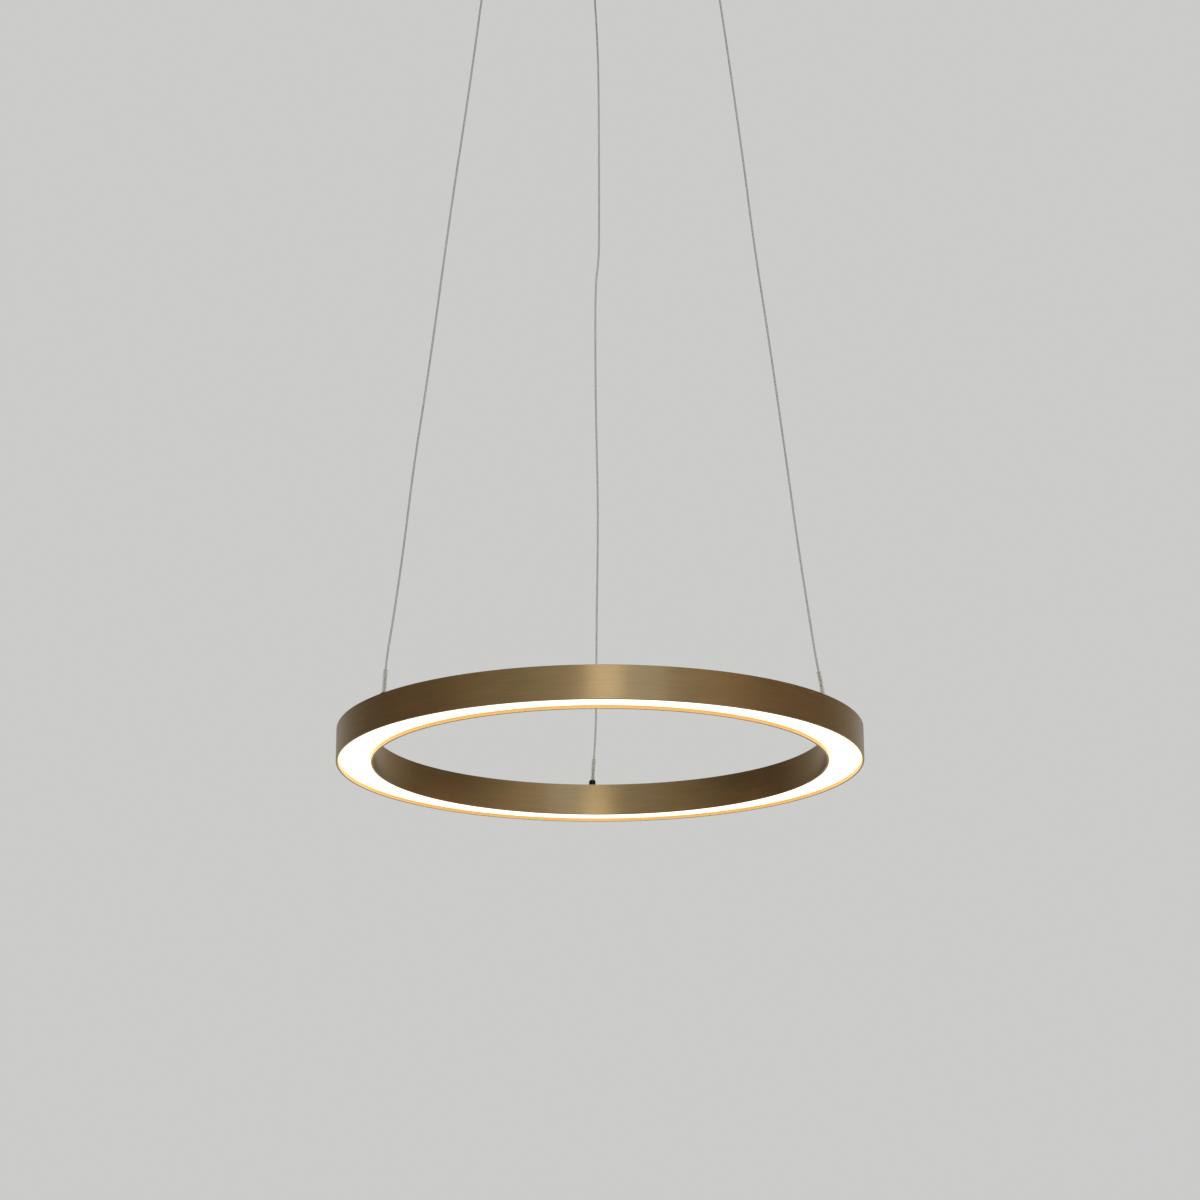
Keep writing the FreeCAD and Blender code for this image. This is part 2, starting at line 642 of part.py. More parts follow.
# ---- wire adjusters -----------------------------------------------------------------------------
def at_grip(shape, side):
    """Moves an adjuster's piece from the origin to its place under the canopy."""
    spot = polar(GRIP_RADIUS, FIXINGS[side], CANOPY_BOTTOM)
    return placed(shape, spot.x, spot.y, spot.z, FIXINGS[side])


def gripper_body(side):
    """Barrel with a conical chuck inside and a threaded stud on top."""
    barrel, stud, edge = BARREL_DIA / 2, STUD_DIA / 2, BARREL_EDGE
    chamber, guide, bore = CHAMBER_DIA / 2, GUIDE_DIA / 2, GRIP_BORE / 2
    outline = [
        (guide, -BARREL_LENGTH),
        (barrel - edge, -BARREL_LENGTH),
        (barrel, -BARREL_LENGTH + edge),
        (barrel, 0),
        (stud, 0),
        (stud, STUD_TOP),
        (bore, STUD_TOP),
        (bore, CHAMBER_TOP),
        (chamber, CHAMBER_TOP),
        (chamber, CONE_TOP),
        (guide, CONE_BOTTOM),
    ]
    return at_grip(revolve(outline), side)


def gripper_nuts():
    """Nuts that clamp the adjusters to the canopy's floor."""
    nut = hexagon(GRIP_NUT[0], CANOPY_WALL, CANOPY_WALL + GRIP_NUT[1], STUD_DIA)
    return group([at_grip(nut, side) for side in FIXINGS])


def gripper_plunger(side):
    """Release plunger: a bored stem that carries the balls, with a flange for the spring."""
    stem, edge, bore = PLUNGER_DIA / 2, PLUNGER_EDGE, GRIP_BORE / 2
    outline = [
        (bore, PLUNGER_TIP),
        (stem - edge, PLUNGER_TIP),
        (stem, PLUNGER_TIP + edge),
        (stem, FLANGE_LOW),
        (FLANGE_DIA / 2, FLANGE_LOW),
        (FLANGE_DIA / 2, FLANGE_HIGH),
        (bore, FLANGE_HIGH),
    ]
    plunger = revolve(outline)
    for turn in BALL_TURNS:
        hole = Part.makeCylinder(BALL_HOLE / 2, CHAMBER_DIA, Vector(0, 0, BALL_Z), polar(1, turn, 0))
        plunger = plunger.cut(hole)
    return at_grip(plunger, side)


def gripper_balls(side):
    """Three balls that wedge between the wire and the chuck."""
    balls = [Part.makeSphere(BALL_DIA / 2, polar(BALL_RADIUS, turn, BALL_Z)) for turn in BALL_TURNS]
    return at_grip(group(balls), side)


def gripper_spring(side):
    """Compression spring between the plunger's flange and the top of the chamber."""
    low = FLANGE_HIGH + SPRING_WIRE / 2 + CLOSE_GAP
    high = CHAMBER_TOP - SPRING_WIRE / 2 - CLOSE_GAP
    radius = (SPRING_DIA - SPRING_WIRE) / 2
    helix = Part.makeHelix((high - low) / SPRING_TURNS, high - low, radius)
    section = Part.Wire(Part.Circle(Vector(radius, 0, 0), Vector(0, 1, 0), SPRING_WIRE / 2).toShape())
    spring = Part.Wire(helix).makePipeShell([section], True, True)
    spring.translate(Vector(0, 0, low))
    return at_grip(spring, side)


# ---- the whole pendant --------------------------------------------------------------------------
def build():
    """Every node's shape, by name."""
    nodes = {
        "ring_housing": ring_housing(),
        "diffuser": diffuser(),
        "led_carrier": led_carrier(),
        "led_board": led_board(),
        "led_chips": led_chips(),
        "carrier_posts": carrier_posts(),
        "carrier_screws": carrier_screws(),
        "ring_connector": ring_connector(),
        "fitting_nuts": fitting_nuts(),
        "canopy_cover": canopy_cover(),
        "ceiling_bracket": ceiling_bracket(),
        "side_screws": side_screws(),
        "inlet_grommet": inlet_grommet(),
        "driver_case": driver_case(),
        "driver_lid": driver_lid(),
        "driver_board": driver_board(),
        "driver_components": driver_components(),
        "driver_screws": driver_screws(),
        "terminal_block": terminal_block(),
        "terminal_screws": terminal_screws(),
        "earth_screw": earth_screw(),
        "earth_lead": earth_lead(),
        "live_lead": mains_lead("live_lead", TERMINAL_POLES[0], LIVE_LANE, LIVE_ENTRY),
        "neutral_lead": mains_lead("neutral_lead", TERMINAL_POLES[1], 0.0, NEUTRAL_ENTRY),
        "gripper_nuts": gripper_nuts(),
    }
    for side in ("left", "right"):
        nodes[f"led_lead_{side}"] = led_lead(side)
    makers = (cable_fitting, wire_sleeve, wire_ferrule, suspension_wire, wire_tail)
    makers += (gripper_body, gripper_plunger, gripper_balls, gripper_spring)
    for side in FIXINGS:
        for maker in makers:
            nodes[f"{maker.__name__}_{side}"] = maker(side)
    return nodes


os.makedirs("parts", exist_ok=True)
for node, shape in build().items():
    shape.exportStep(f"parts/{node}.step")
    print(f"{node}: {len(shape.Solids)} solid(s), valid {shape.isValid()}, volume {shape.Volume:.1f}")
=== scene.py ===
"""Looks of an LED ring pendant.

A slim brass-coloured ring with an opal diffuser hangs level on three clear-sheathed wires from a
round canopy. Metres, +Z up, with the origin on the ceiling at the canopy's centre, as in the
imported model.
"""

from __future__ import annotations

import json
import logging
import math
from dataclasses import dataclass
from enum import Enum
from typing import Callable, Optional, Sequence, Union

import bmesh
import bpy
from mathutils import Matrix, Vector


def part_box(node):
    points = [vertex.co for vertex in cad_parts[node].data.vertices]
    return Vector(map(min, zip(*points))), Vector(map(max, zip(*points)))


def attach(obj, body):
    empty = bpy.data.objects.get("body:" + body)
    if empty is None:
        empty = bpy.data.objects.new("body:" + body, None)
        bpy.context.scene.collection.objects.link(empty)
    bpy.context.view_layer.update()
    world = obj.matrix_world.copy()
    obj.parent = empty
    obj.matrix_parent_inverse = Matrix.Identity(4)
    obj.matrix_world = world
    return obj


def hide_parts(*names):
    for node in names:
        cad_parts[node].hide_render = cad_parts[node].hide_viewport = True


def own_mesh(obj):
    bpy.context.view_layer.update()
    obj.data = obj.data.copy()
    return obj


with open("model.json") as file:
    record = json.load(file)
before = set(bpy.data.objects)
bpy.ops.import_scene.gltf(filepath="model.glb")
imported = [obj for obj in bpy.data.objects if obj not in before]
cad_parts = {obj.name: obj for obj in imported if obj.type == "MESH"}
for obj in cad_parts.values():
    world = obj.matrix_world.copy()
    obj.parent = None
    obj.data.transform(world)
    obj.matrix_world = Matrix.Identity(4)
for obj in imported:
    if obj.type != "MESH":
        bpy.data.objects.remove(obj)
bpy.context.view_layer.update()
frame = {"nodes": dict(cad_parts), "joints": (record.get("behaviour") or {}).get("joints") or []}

LOG = logging.getLogger("pendant")
Colour = tuple[float, float, float]
Number = Union[float, "Signal"]
Point2 = tuple[float, float]
Point3 = tuple[float, float, float]
MILLIMETRE = 0.001
FULL_TURN = 2 * math.pi
ORIGIN = Vector((0.0, 0.0, 0.0))
CREASE = math.radians(35.0)  # edges sharper than this stay sharp


class Body(Enum):
    """The bodies that pieces ride on."""

    CANOPY = "canopy"
    RING = "ring"


class Side(Enum):
    """The three wires, by where they leave the ring, with the azimuth of each in degrees."""

    LEFT = 210.0
    RIGHT = 330.0
    REAR = 90.0

    @property
    def label(self) -> str:
        """The side's name as the nodes are named."""
        return self.name.lower()


# ---- shader expressions ----
class Signal:
    """A shader socket as a value in a Python expression."""

    def __init__(self, shader: ShaderTree, socket: Optional[bpy.types.NodeSocket]) -> None:
        """Wraps an output socket of a node in shader, or none for a node without outputs."""
        self.shader = shader
        self.socket = socket

    def _operate(self, operation: str, first: Number, second: Number) -> Signal:
        """The result of a Math node, or of a Vector Math node where this is a vector."""
        kind = "ShaderNodeVectorMath" if self.socket.type == "VECTOR" else "ShaderNodeMath"
        return self.shader.node(kind, {"operation": operation}, {0: first, 1: second})

    def __add__(self, other: Number) -> Signal:
        """The sum of this and other."""
        return self._operate("ADD", self, other)

    def __radd__(self, other: Number) -> Signal:
        """The sum of other and this."""
        return self._operate("ADD", other, self)

    def __sub__(self, other: Number) -> Signal:
        """This less other."""
        return self._operate("SUBTRACT", self, other)

    def __rsub__(self, other: Number) -> Signal:
        """Other less this."""
        return self._operate("SUBTRACT", other, self)

    def __mul__(self, other: Number) -> Signal:
        """The product of this and other."""
        return self._operate("MULTIPLY", self, other)

    def __rmul__(self, other: Number) -> Signal:
        """The product of other and this."""
        return self._operate("MULTIPLY", other, self)

    def __truediv__(self, other: Number) -> Signal:
        """This divided by other."""
        return self._operate("DIVIDE", self, other)

    def __rtruediv__(self, other: Number) -> Signal:
        """Other divided by this."""
        return self._operate("DIVIDE", other, self)

    def __pow__(self, other: Number) -> Signal:
        """This raised to other."""
        return self._operate("POWER", self, other)

    def __rpow__(self, other: Number) -> Signal:
        """Other raised to this."""
        return self._operate("POWER", other, self)

    def __abs__(self) -> Signal:
        """This without its sign."""
        return self._operate("ABSOLUTE", self, 0.0)

    def clamped(self) -> Signal:
        """This, kept between 0 and 1."""
        return self.shader.node("ShaderNodeClamp", {}, {"Value": self})

    def step(self, low: float, high: float) -> Signal:
        """0 below low, 1 above high, and a smooth rise between them."""
        return self.shader.node(
            "ShaderNodeMapRange",
            {"interpolation_type": "SMOOTHSTEP"},
            {"Value": self, "From Min": low, "From Max": high},
        )

    def between(self, low: Union[Colour, Signal], high: Union[Colour, Signal]) -> Signal:
        """The colour low where this is 0, high where it is 1, and their mix between."""
        return self.shader.node(
            "ShaderNodeMix", {"data_type": "RGBA"}, {0: self, 6: low, 7: high}, output=2
        )


class ShaderTree:
    """The node tree of a material or of the world."""

    def __init__(self, tree: bpy.types.NodeTree) -> None:
        """Takes over an empty or default tree."""
        self.tree = tree
        tree.nodes.clear()

    def node(
        self,
        kind: str,
        settings: Optional[dict[str, object]] = None,
        inputs: Optional[dict[Union[int, str], object]] = None,
        output: Union[int, str] = 0,
    ) -> Signal:
        """Adds one node.

        Args:
            kind: the node's type.
            settings: the node's properties or its ramp's stops, which are set before its sockets.
            inputs: values or signals for its input sockets, by index or name.
            output: the output socket that is wanted.

        Returns:
            That output.
        """
        made = self.tree.nodes.new(kind)
        for name, value in (settings or {}).items():
            if name == "stops":
                self.set_stops(made.color_ramp, value)
            else:
                setattr(made, name, value)
        for key, value in (inputs or {}).items():
            self.feed(made.inputs[key], value)
        return Signal(self, made.outputs[output] if made.outputs else None)

    @staticmethod
    def set_stops(ramp: bpy.types.ColorRamp, stops: Sequence[tuple[float, Colour]]) -> None:
        """Gives a ramp its places and colours, in order.

        Args:
            ramp: the ramp.
            stops: the places, from 0 to 1, each with its colour.
        """
        while len(ramp.elements) < len(stops):
            ramp.elements.new(1.0)
        for element, (place, colour) in zip(ramp.elements, stops):
            element.position = place
            element.color = (*colour, 1.0)

    def feed(self, socket: bpy.types.NodeSocket, value: object) -> None:
        """Links a signal to a socket, or sets the socket's own value.

        Args:
            socket: the input socket.
            value: a signal, or a number, colour or vector.
        """
        if isinstance(value, Signal):
            self.tree.links.new(value.socket, socket)
        elif socket.type == "RGBA":
            socket.default_value = (*value, 1.0)
        elif socket.type == "VECTOR" and isinstance(value, (int, float)):
            socket.default_value = (value, value, value)
        else:
            socket.default_value = value

    def place(self) -> Signal:
        """The point's place in the row frame, at rest."""
        return self.node("ShaderNodeTexCoord", output="Object")

    def parts(self, vector: Signal) -> tuple[Signal, Signal, Signal]:
        """The three components of a vector."""
        split = self.node("ShaderNodeSeparateXYZ", inputs={0: vector}).socket.node
        return tuple(Signal(self, out) for out in split.outputs)

    def vector(self, x: Number, y: Number, z: Number) -> Signal:
        """A vector from three numbers."""
        return self.node("ShaderNodeCombineXYZ", inputs={0: x, 1: y, 2: z})

    def length(self, x: Signal, y: Signal) -> Signal:
        """The length of a flat vector."""
        return (x * x + y * y) ** 0.5

    def ray(self, kind: str) -> Signal:
        """1 for a ray of that kind, such as Camera or Glossy, and 0 for others."""
        return self.node("ShaderNodeLightPath", output=f"Is {kind} Ray")

    def noise(self, vector: Signal, scale: float, detail: float, depth: Number = 0.0) -> Signal:
        """Smooth noise from 0 to 1, with a fourth coordinate."""
        return self.node(
            "ShaderNodeTexNoise",
            {"noise_dimensions": "4D"},
            {"Vector": vector, "W": depth, "Scale": scale, "Detail": detail},
        )

    def bump(self, height: Signal, distance: float) -> Signal:
        """A normal from a height of 0 to 1 that stands for distance."""
        return self.node("ShaderNodeBump", {}, {"Height": height, "Distance": distance})

    def mix(self, factor: Signal, low: Signal, high: Signal) -> Signal:
        """The shader low where factor is 0 and high where it is 1."""
        return self.node("ShaderNodeMixShader", {}, {0: factor, 1: low, 2: high})


# ---- finishes ----
@dataclass(frozen=True)
class Finish:
    """A surface finish: what is even over the surface is a field, and vary() adds the rest."""

    slot: str
    colour: Colour
    roughness: float = 0.5
    metallic: float = 0.0
    coat: float = 0.0
    coat_roughness: float = 0.2
    grain: float = 0.0003  # size of the fine texture, metres
    relief: float = 0.00001  # its depth, metres
    uneven: float = 0.06  # how much the colour and the roughness wander
    clouds: float = 60.0  # how many times a metre they do

    def material(self) -> bpy.types.Material:
        """Makes this finish's Blender material, the first time that it is asked for.

        Returns:
            The material.
        """
        made = bpy.data.materials.get("finish_" + self.slot)
        if made is None:
            made = bpy.data.materials.new("finish_" + self.slot)
            made.use_nodes = True
            shader = ShaderTree(made.node_tree)
            surface = shader.node("ShaderNodeBsdfPrincipled", {}, self.even())
            shader.node("ShaderNodeOutputMaterial", {}, {"Surface": surface})
            for name, value in self.vary(shader).items():
                shader.feed(surface.socket.node.inputs[name], value)
        return made

    def even(self) -> dict[str, object]:
        """The shader's own values, by socket."""
        return {
            "Base Color": self.colour,
            "Roughness": self.roughness,
            "Metallic": self.metallic,
            "Coat Weight": self.coat,
            "Coat Roughness": self.coat_roughness,
        }

    def tint(self, level: Signal, spread: float) -> Signal:
        """The finish's colour, from darker to lighter as a level goes from 0 to 1.

        Args:
            level: the level.
            spread: how much darker and lighter, as a share.

        Returns:
            The colour.
        """
        low = tuple(channel * (1 - spread) for channel in self.colour)
        high = tuple(min(1.0, channel * (1 + spread)) for channel in self.colour)
        return level.between(low, high)

    def vary(self, shader: ShaderTree) -> dict[str, Signal]:
        """What changes over the surface: a fine moulded texture under slow unevenness.

        Args:
            shader: the material's tree.

        Returns:
            A signal for each shader socket that it drives.
        """
        place = shader.place()
        slow = shader.noise(place, self.clouds, 3.0)
        fine = shader.noise(place, 1 / self.grain, 2.0)
        return {
            "Base Color": self.tint(slow, self.uneven),
            "Roughness": self.roughness + (fine - 0.5) * self.uneven + (slow - 0.5) * self.uneven,
            "Normal": shader.bump(fine, self.relief),
        }


@dataclass(frozen=True)
class TurnedMetal(Finish):
    """Metal brushed round the object's axis, under a thin lacquer."""

    streak: float = 0.022  # length of a brush mark along the round, metres
    line: float = 0.00035  # its width, metres
    broad: float = 8.0  # how many times wider the broad marks are
    radius: float = 0.2  # where streak holds
    pull: float = 0.8  # how far the shine is drawn out across the brushing
    clouds: float = 9.0

    def even(self) -> dict[str, object]:
        """The shader's own values, with the shine drawn out upwards, across the brushing."""
        return {**super().even(), "Anisotropic": self.pull, "Anisotropic Rotation": 0.25}

    def vary(self, shader: ShaderTree) -> dict[str, Signal]:
        """Fine and broad brush marks that run round the axis with no seam.

        Args:
            shader: the material's tree.

        Returns:
            A signal for each shader socket that it drives.
        """
        x, y, z = shader.parts(shader.place())
        out = shader.length(x, y)
        turns = self.radius / self.streak

        def brushed(width: float, detail: float) -> Signal:
            """Brush marks of one width."""
            around = shader.vector(x / out * turns, y / out * turns, z / width)
            return shader.noise(around, 1.0, detail, out / width)

        fine = brushed(self.line, 3.0)
        marks = fine * 0.6 + brushed(self.broad * self.line, 2.0) * 0.4
        slow = shader.noise(shader.place(), self.clouds, 2.0)
        return {
            "Base Color": self.tint((marks * 0.7 + slow * 0.3).step(0.3, 0.7), self.uneven),
            "Roughness": self.roughness + (marks - 0.5) * 0.2 + (slow - 0.5) * 0.08,
            "Normal": shader.bump(fine, self.relief),
        }


@dataclass(frozen=True)
class LitOpal(Finish):
    """Opal plastic lit from behind, a little dimmer beside the ring's walls."""

    glow: float = 1.8
    light: Colour = (1.0, 0.86, 0.62)
    edge: Colour = (0.80, 0.50, 0.20)
    middle: float = 0.186  # radius of the diffuser's centre line
    half: float = 0.0125  # half of its width

    def even(self) -> dict[str, object]:
        """The shader's own values, with the light's strength."""
        return {**super().even(), "Emission Strength": self.glow}

    def vary(self, shader: ShaderTree) -> dict[str, Signal]:
        """The light's fall towards both walls.

        Args:
            shader: the material's tree.

        Returns:
            A signal for each shader socket that it drives.
        """
        x, y, _ = shader.parts(shader.place())
        aside = abs(shader.length(x, y) - self.middle) / self.half
        lit = (aside**4).clamped().between(self.light, self.edge)
        return {**super().vary(shader), "Emission Color": lit}


@dataclass(frozen=True)
class ClearPlastic(Finish):
    """Clear tubing."""

    transmission: float = 1.0
    ior: float = 1.46

    def even(self) -> dict[str, object]:
        """The shader's own values, with what passes through."""
        return {**super().even(), "Transmission Weight": self.transmission, "IOR": self.ior}


@dataclass(frozen=True)
class Striped(Finish):
    """Insulation with a second colour along one side."""

    second: Colour = (0.62, 0.50, 0.02)

    def vary(self, shader: ShaderTree) -> dict[str, Signal]:
        """A lengthwise stripe, as the lead's upper half, over the moulded texture.

        Args:
            shader: the material's tree.

        Returns:
            A signal for each shader socket that it drives.
        """
        under = super().vary(shader)
        normal = shader.node("ShaderNodeNewGeometry", output="Normal")
        _, _, up = shader.parts(normal)
        under["Base Color"] = up.step(-0.1, 0.1).between(under["Base Color"], self.second)
        return under


@dataclass(frozen=True)
class Printed(Finish):
    """Circuit board: solder mask with a net of tracks showing through."""

    track: Colour = (0.62, 0.64, 0.60)
    pitch: float = 0.004  # the length of two meshes of the net, metres
    half: float = 0.08  # half of a track's width, as a share of the pitch

    def vary(self, shader: ShaderTree) -> dict[str, Signal]:
        """The net of tracks, over the moulded texture.

        Args:
            shader: the material's tree.

        Returns:
            A signal for each shader socket that it drives.
        """
        under = super().vary(shader)
        tracks = shader.node(
            "ShaderNodeTexBrick",
            {},
            {"Vector": shader.place(), "Scale": 1 / self.pitch, "Mortar Size": self.half},
            output="Fac",
        )
        under["Base Color"] = tracks.between(under["Base Color"], self.track)
        return under


BRASS = TurnedMetal(
    "brushed_brass", (0.60, 0.43, 0.215), 0.33, 1.0, 0.2, 0.3, relief=0.000006, uneven=0.12
)
OPAL = LitOpal("opal_diffuser", (0.60, 0.59, 0.57), 0.45, uneven=0.01)
DARK = Finish("dark_fitting", (0.012, 0.010, 0.009), 0.42, 0.6, 0.2, uneven=0.12)
SLEEVE = ClearPlastic("clear_sleeve", (0.93, 0.91, 0.86), 0.12, uneven=0.02, transmission=0.92)
SHEATH = ClearPlastic("clear_wire", (0.96, 0.95, 0.92), 0.06, uneven=0.02)
NICKEL = TurnedMetal(
    "satin_nickel", (0.66, 0.62, 0.56), 0.3, 1.0, streak=0.004, radius=0.005, line=0.0002
)
ZINC = Finish("plated_steel", (0.60, 0.62, 0.63), 0.33, 1.0, grain=0.0006, uneven=0.12)
TRAY = Finish("aluminium_tray", (0.72, 0.73, 0.74), 0.4, 1.0, grain=0.0005, uneven=0.06)
WHITE = Finish("white_plastic", (0.83, 0.83, 0.80), 0.48, grain=0.0004, relief=0.00002, uneven=0.03)
RUBBER = Finish("black_rubber", (0.025, 0.025, 0.025), 0.75, grain=0.0005, relief=0.00003)
COMPONENT = Finish("dark_component", (0.05, 0.05, 0.055), 0.5, uneven=0.1)
EARTH = Striped("earth_insulation", (0.10, 0.36, 0.05), 0.4)
LIVE = Finish("live_insulation", (0.20, 0.085, 0.035), 0.4)
NEUTRAL = Finish("neutral_insulation", (0.03, 0.16, 0.50), 0.4)
BOARD = Printed("circuit_board", (0.84, 0.85, 0.82), 0.35, uneven=0.03)
PHOSPHOR = Finish("led_phosphor", (0.92, 0.70, 0.16), 0.55, uneven=0.08)


# ---- meshes ----
@dataclass(frozen=True)
class Corner:
    """A corner of an outline in the (distance from the axis, height) plane, and its rounding."""

    out: float
    up: float
    radius: float = 0.0


def rounded(corners: Sequence[Corner], steps: int = 4) -> list[Point2]:
    """A closed outline with arcs at its rounded corners.

    Args:
        corners: the outline's corners in order.
        steps: the number of spans in each arc.

    Returns:
        The outline's points.
    """
    points: list[Point2] = []
    for index, corner in enumerate(corners):
        here = Vector((corner.out, corner.up))
        if corner.radius == 0:
            points.append((here.x, here.y))
            continue
        before, after = corners[index - 1], corners[(index + 1) % len(corners)]
        arrive = (here - Vector((before.out, before.up))).normalized()
        leave = (Vector((after.out, after.up)) - here).normalized()
        half = math.acos(max(-1.0, min(1.0, arrive.dot(leave)))) / 2
        centre = here + (leave - arrive).normalized() * (corner.radius / math.cos(half))
        spoke = here - arrive * (corner.radius * math.tan(half)) - centre
        way = math.copysign(1.0, arrive.x * leave.y - arrive.y * leave.x)
        for step in range(steps + 1):
            turned = Matrix.Rotation(way * 2 * half * step / steps, 2) @ spoke
            points.append(tuple(centre + turned))
    return points


def shade(piece: bpy.types.Object) -> None:
    """Smooths a piece's shading everywhere but at its sharp edges.

    Args:
        piece: the piece.
    """
    mesh = piece.data
    mesh.polygons.foreach_set("use_smooth", [True] * len(mesh.polygons))
    mesh.set_sharp_from_angle(angle=CREASE)
    piece.modifiers.new("even_faces", "WEIGHTED_NORMAL").keep_sharp = True


def skinned(
    name: str, rings: Sequence[Sequence[Vector]], finish: Finish, closed: bool
) -> bpy.types.Object:
    """A smooth-shaded piece whose quads join rings of points.

    Args:
        name: the piece's name.
        rings: rings with equal numbers of points.
        finish: what it is made of.
        closed: whether the last ring joins the first; otherwise both ends are capped.

    Returns:
        The piece, linked to the scene.
    """
    work = bmesh.new()
    made = [[work.verts.new(point) for point in ring] for ring in rings]
    pairs = list(zip(made, made[1:])) + ([(made[-1], made[0])] if closed else [])
    for near, far in pairs:
        for index in range(len(near)):
            after = (index + 1) % len(near)
            work.faces.new((near[index], near[after], far[after], far[index]))
    if not closed:
        work.faces.new(made[0])
        work.faces.new(made[-1])
    bmesh.ops.recalc_face_normals(work, faces=work.faces[:])
    mesh = bpy.data.meshes.new(name)
    work.to_mesh(mesh)
    work.free()
    mesh.materials.append(finish.material())
    piece = bpy.data.objects.new(name, mesh)
    bpy.context.scene.collection.objects.link(piece)
    shade(piece)
    return piece


def lathe(
    name: str,
    outline: Sequence[Point2],
    finish: Finish,
    segments: int = 64,
    centre: Vector = ORIGIN,
    shift: Optional[Callable[[float, float, float], float]] = None,
) -> bpy.types.Object:
    """A closed solid of revolution round a vertical axis.

    Args:
        name: the piece's name.
        outline: closed outline of (radius, height) points.
        finish: what it is made of.
        segments: how many steps go round.
        centre: where the axis and height 0 are.
        shift: gives a point's radius from its radius, height and angle.

    Returns:
        The piece.
    """
    rings = []
    for step in range(segments):
        angle = FULL_TURN * step / segments
        ring = []
        for radius, height in outline:
            reach = shift(radius, height, angle) if shift else radius
            ring.append(centre + Vector((reach * math.cos(angle), reach * math.sin(angle), height)))
        rings.append(ring)
    return skinned(name, rings, finish, closed=True)


def sweep(
    name: str,
    line: Sequence[Vector],
    section: Callable[[float], Sequence[Point2]],
    finish: Finish,
) -> bpy.types.Object:
    """A closed solid that carries a section along a line.

    Args:
        name: the piece's name.
        line: the points that its centre follows.
        section: gives the section's points at a distance along the line.
        finish: what it is made of.

    Returns:
        The piece.
    """
    rings, along = [], 0.0
    heading = (line[1] - line[0]).normalized()
    right = heading.orthogonal().normalized()
    for index, point in enumerate(line):
        before, after = line[max(0, index - 1)], line[min(len(line) - 1, index + 1)]
        turned = (after - before).normalized()
        right = (heading.rotation_difference(turned) @ right).normalized()
        heading, up = turned, turned.cross(right)
        along += (point - before).length
        rings.append([point + right * a + up * b for a, b in section(along)])
    return skinned(name, rings, finish, closed=False)


def circle(radius: float, sides: int) -> list[Point2]:
    """The outline of a circle.

    Args:
        radius: its radius.
        sides: how many points it gets.

    Returns:
        The points.
    """
    return [
        (radius * math.cos(FULL_TURN * k / sides), radius * math.sin(FULL_TURN * k / sides))
        for k in range(sides)
    ]


def evenly(line: Sequence[Vector], spacing: float) -> list[Vector]:
    """Points at even distances along a line that was read from a spline.

    Args:
        line: the line's points.
        spacing: the distance wanted between two points.

    Returns:
        The points, from end to end.
    """
    lengths = [0.0]
    for before, after in zip(line, line[1:]):
        lengths.append(lengths[-1] + (after - before).length)
    count = max(2, round(lengths[-1] / spacing))
    points, at = [], 0
    for index in range(count + 1):
        wanted = lengths[-1] * index / count
        while at < len(line) - 2 and lengths[at + 1] < wanted:
            at += 1
        share = (wanted - lengths[at]) / (lengths[at + 1] - lengths[at])
        points.append(line[at].lerp(line[at + 1], share))
    return points


def spline_line(points: Sequence[Vector], resolution: int = 40) -> list[Vector]:
    """The smooth line of a NURBS spline.

    Args:
        points: its control points.
        resolution: how many steps each of its spans gets.

    Returns:
        The line's points.
    """
    curve = bpy.data.curves.new("route", "CURVE")
    curve.dimensions = "3D"
    curve.resolution_u = resolution
    spline = curve.splines.new("NURBS")
    spline.points.add(len(points) - 1)
    for knot, point in zip(spline.points, points):
        knot.co = (*point, 1.0)
    spline.order_u = 3
    spline.use_endpoint_u = True
    guide = bpy.data.objects.new("route", curve)
    mesh = bpy.data.meshes.new_from_object(guide)
    line = [vertex.co.copy() for vertex in mesh.vertices]
    bpy.data.objects.remove(guide)
    bpy.data.curves.remove(curve)
    bpy.data.meshes.remove(mesh)
    return line


def box_middle(node: str) -> Vector:
    """The centre of a CAD node's box."""
    low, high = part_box(node)
    return (low + high) / 2


def axis_of(node: str) -> Vector:
    """The point at height 0 on a CAD node's upright axis."""
    middle = box_middle(node)
    return Vector((middle.x, middle.y, 0.0))


def dress(node: str, finish: Finish) -> None:
    """Gives a CAD node its finish.

    Args:
        node: the node's name.
        finish: what it is made of.
    """
    piece = frame["nodes"][node]
    for material_slot in piece.material_slots:
        material_slot.material = finish.material()
    LOG.info("dressed %s in %s", node, finish.slot)


def soften(node: str, finish: Finish, width: float) -> None:
    """Dresses a CAD node and rounds its edges, as those of a moulded or pressed piece are.

    Args:
        node: the node's name.
        finish: what it is made of.
        width: how wide the rounding is.
    """
    dress(node, finish)
    piece = frame["nodes"][node]
    weld = piece.modifiers.new("weld", "WELD")
    weld.merge_threshold = 0.002 * MILLIMETRE
    flat = piece.modifiers.new("flat", "DECIMATE")
    flat.decimate_type = "DISSOLVE"
    flat.angle_limit = math.radians(1)
    bevel = piece.modifiers.new("edges", "BEVEL")
    bevel.width = width
    bevel.segments = 3
    bevel.limit_method = "ANGLE"
    bevel.angle_limit = math.radians(40)
    bevel.harden_normals = True


def settle(piece: bpy.types.Object, body: str, node: str) -> None:
    """Puts a piece on its body, in place of a CAD node.

    Args:
        piece: the piece.
        body: the body that it rides on.
        node: the node that it stands for.
    """
    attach(piece, body)
    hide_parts(node)
    LOG.info("built %s", piece.name)


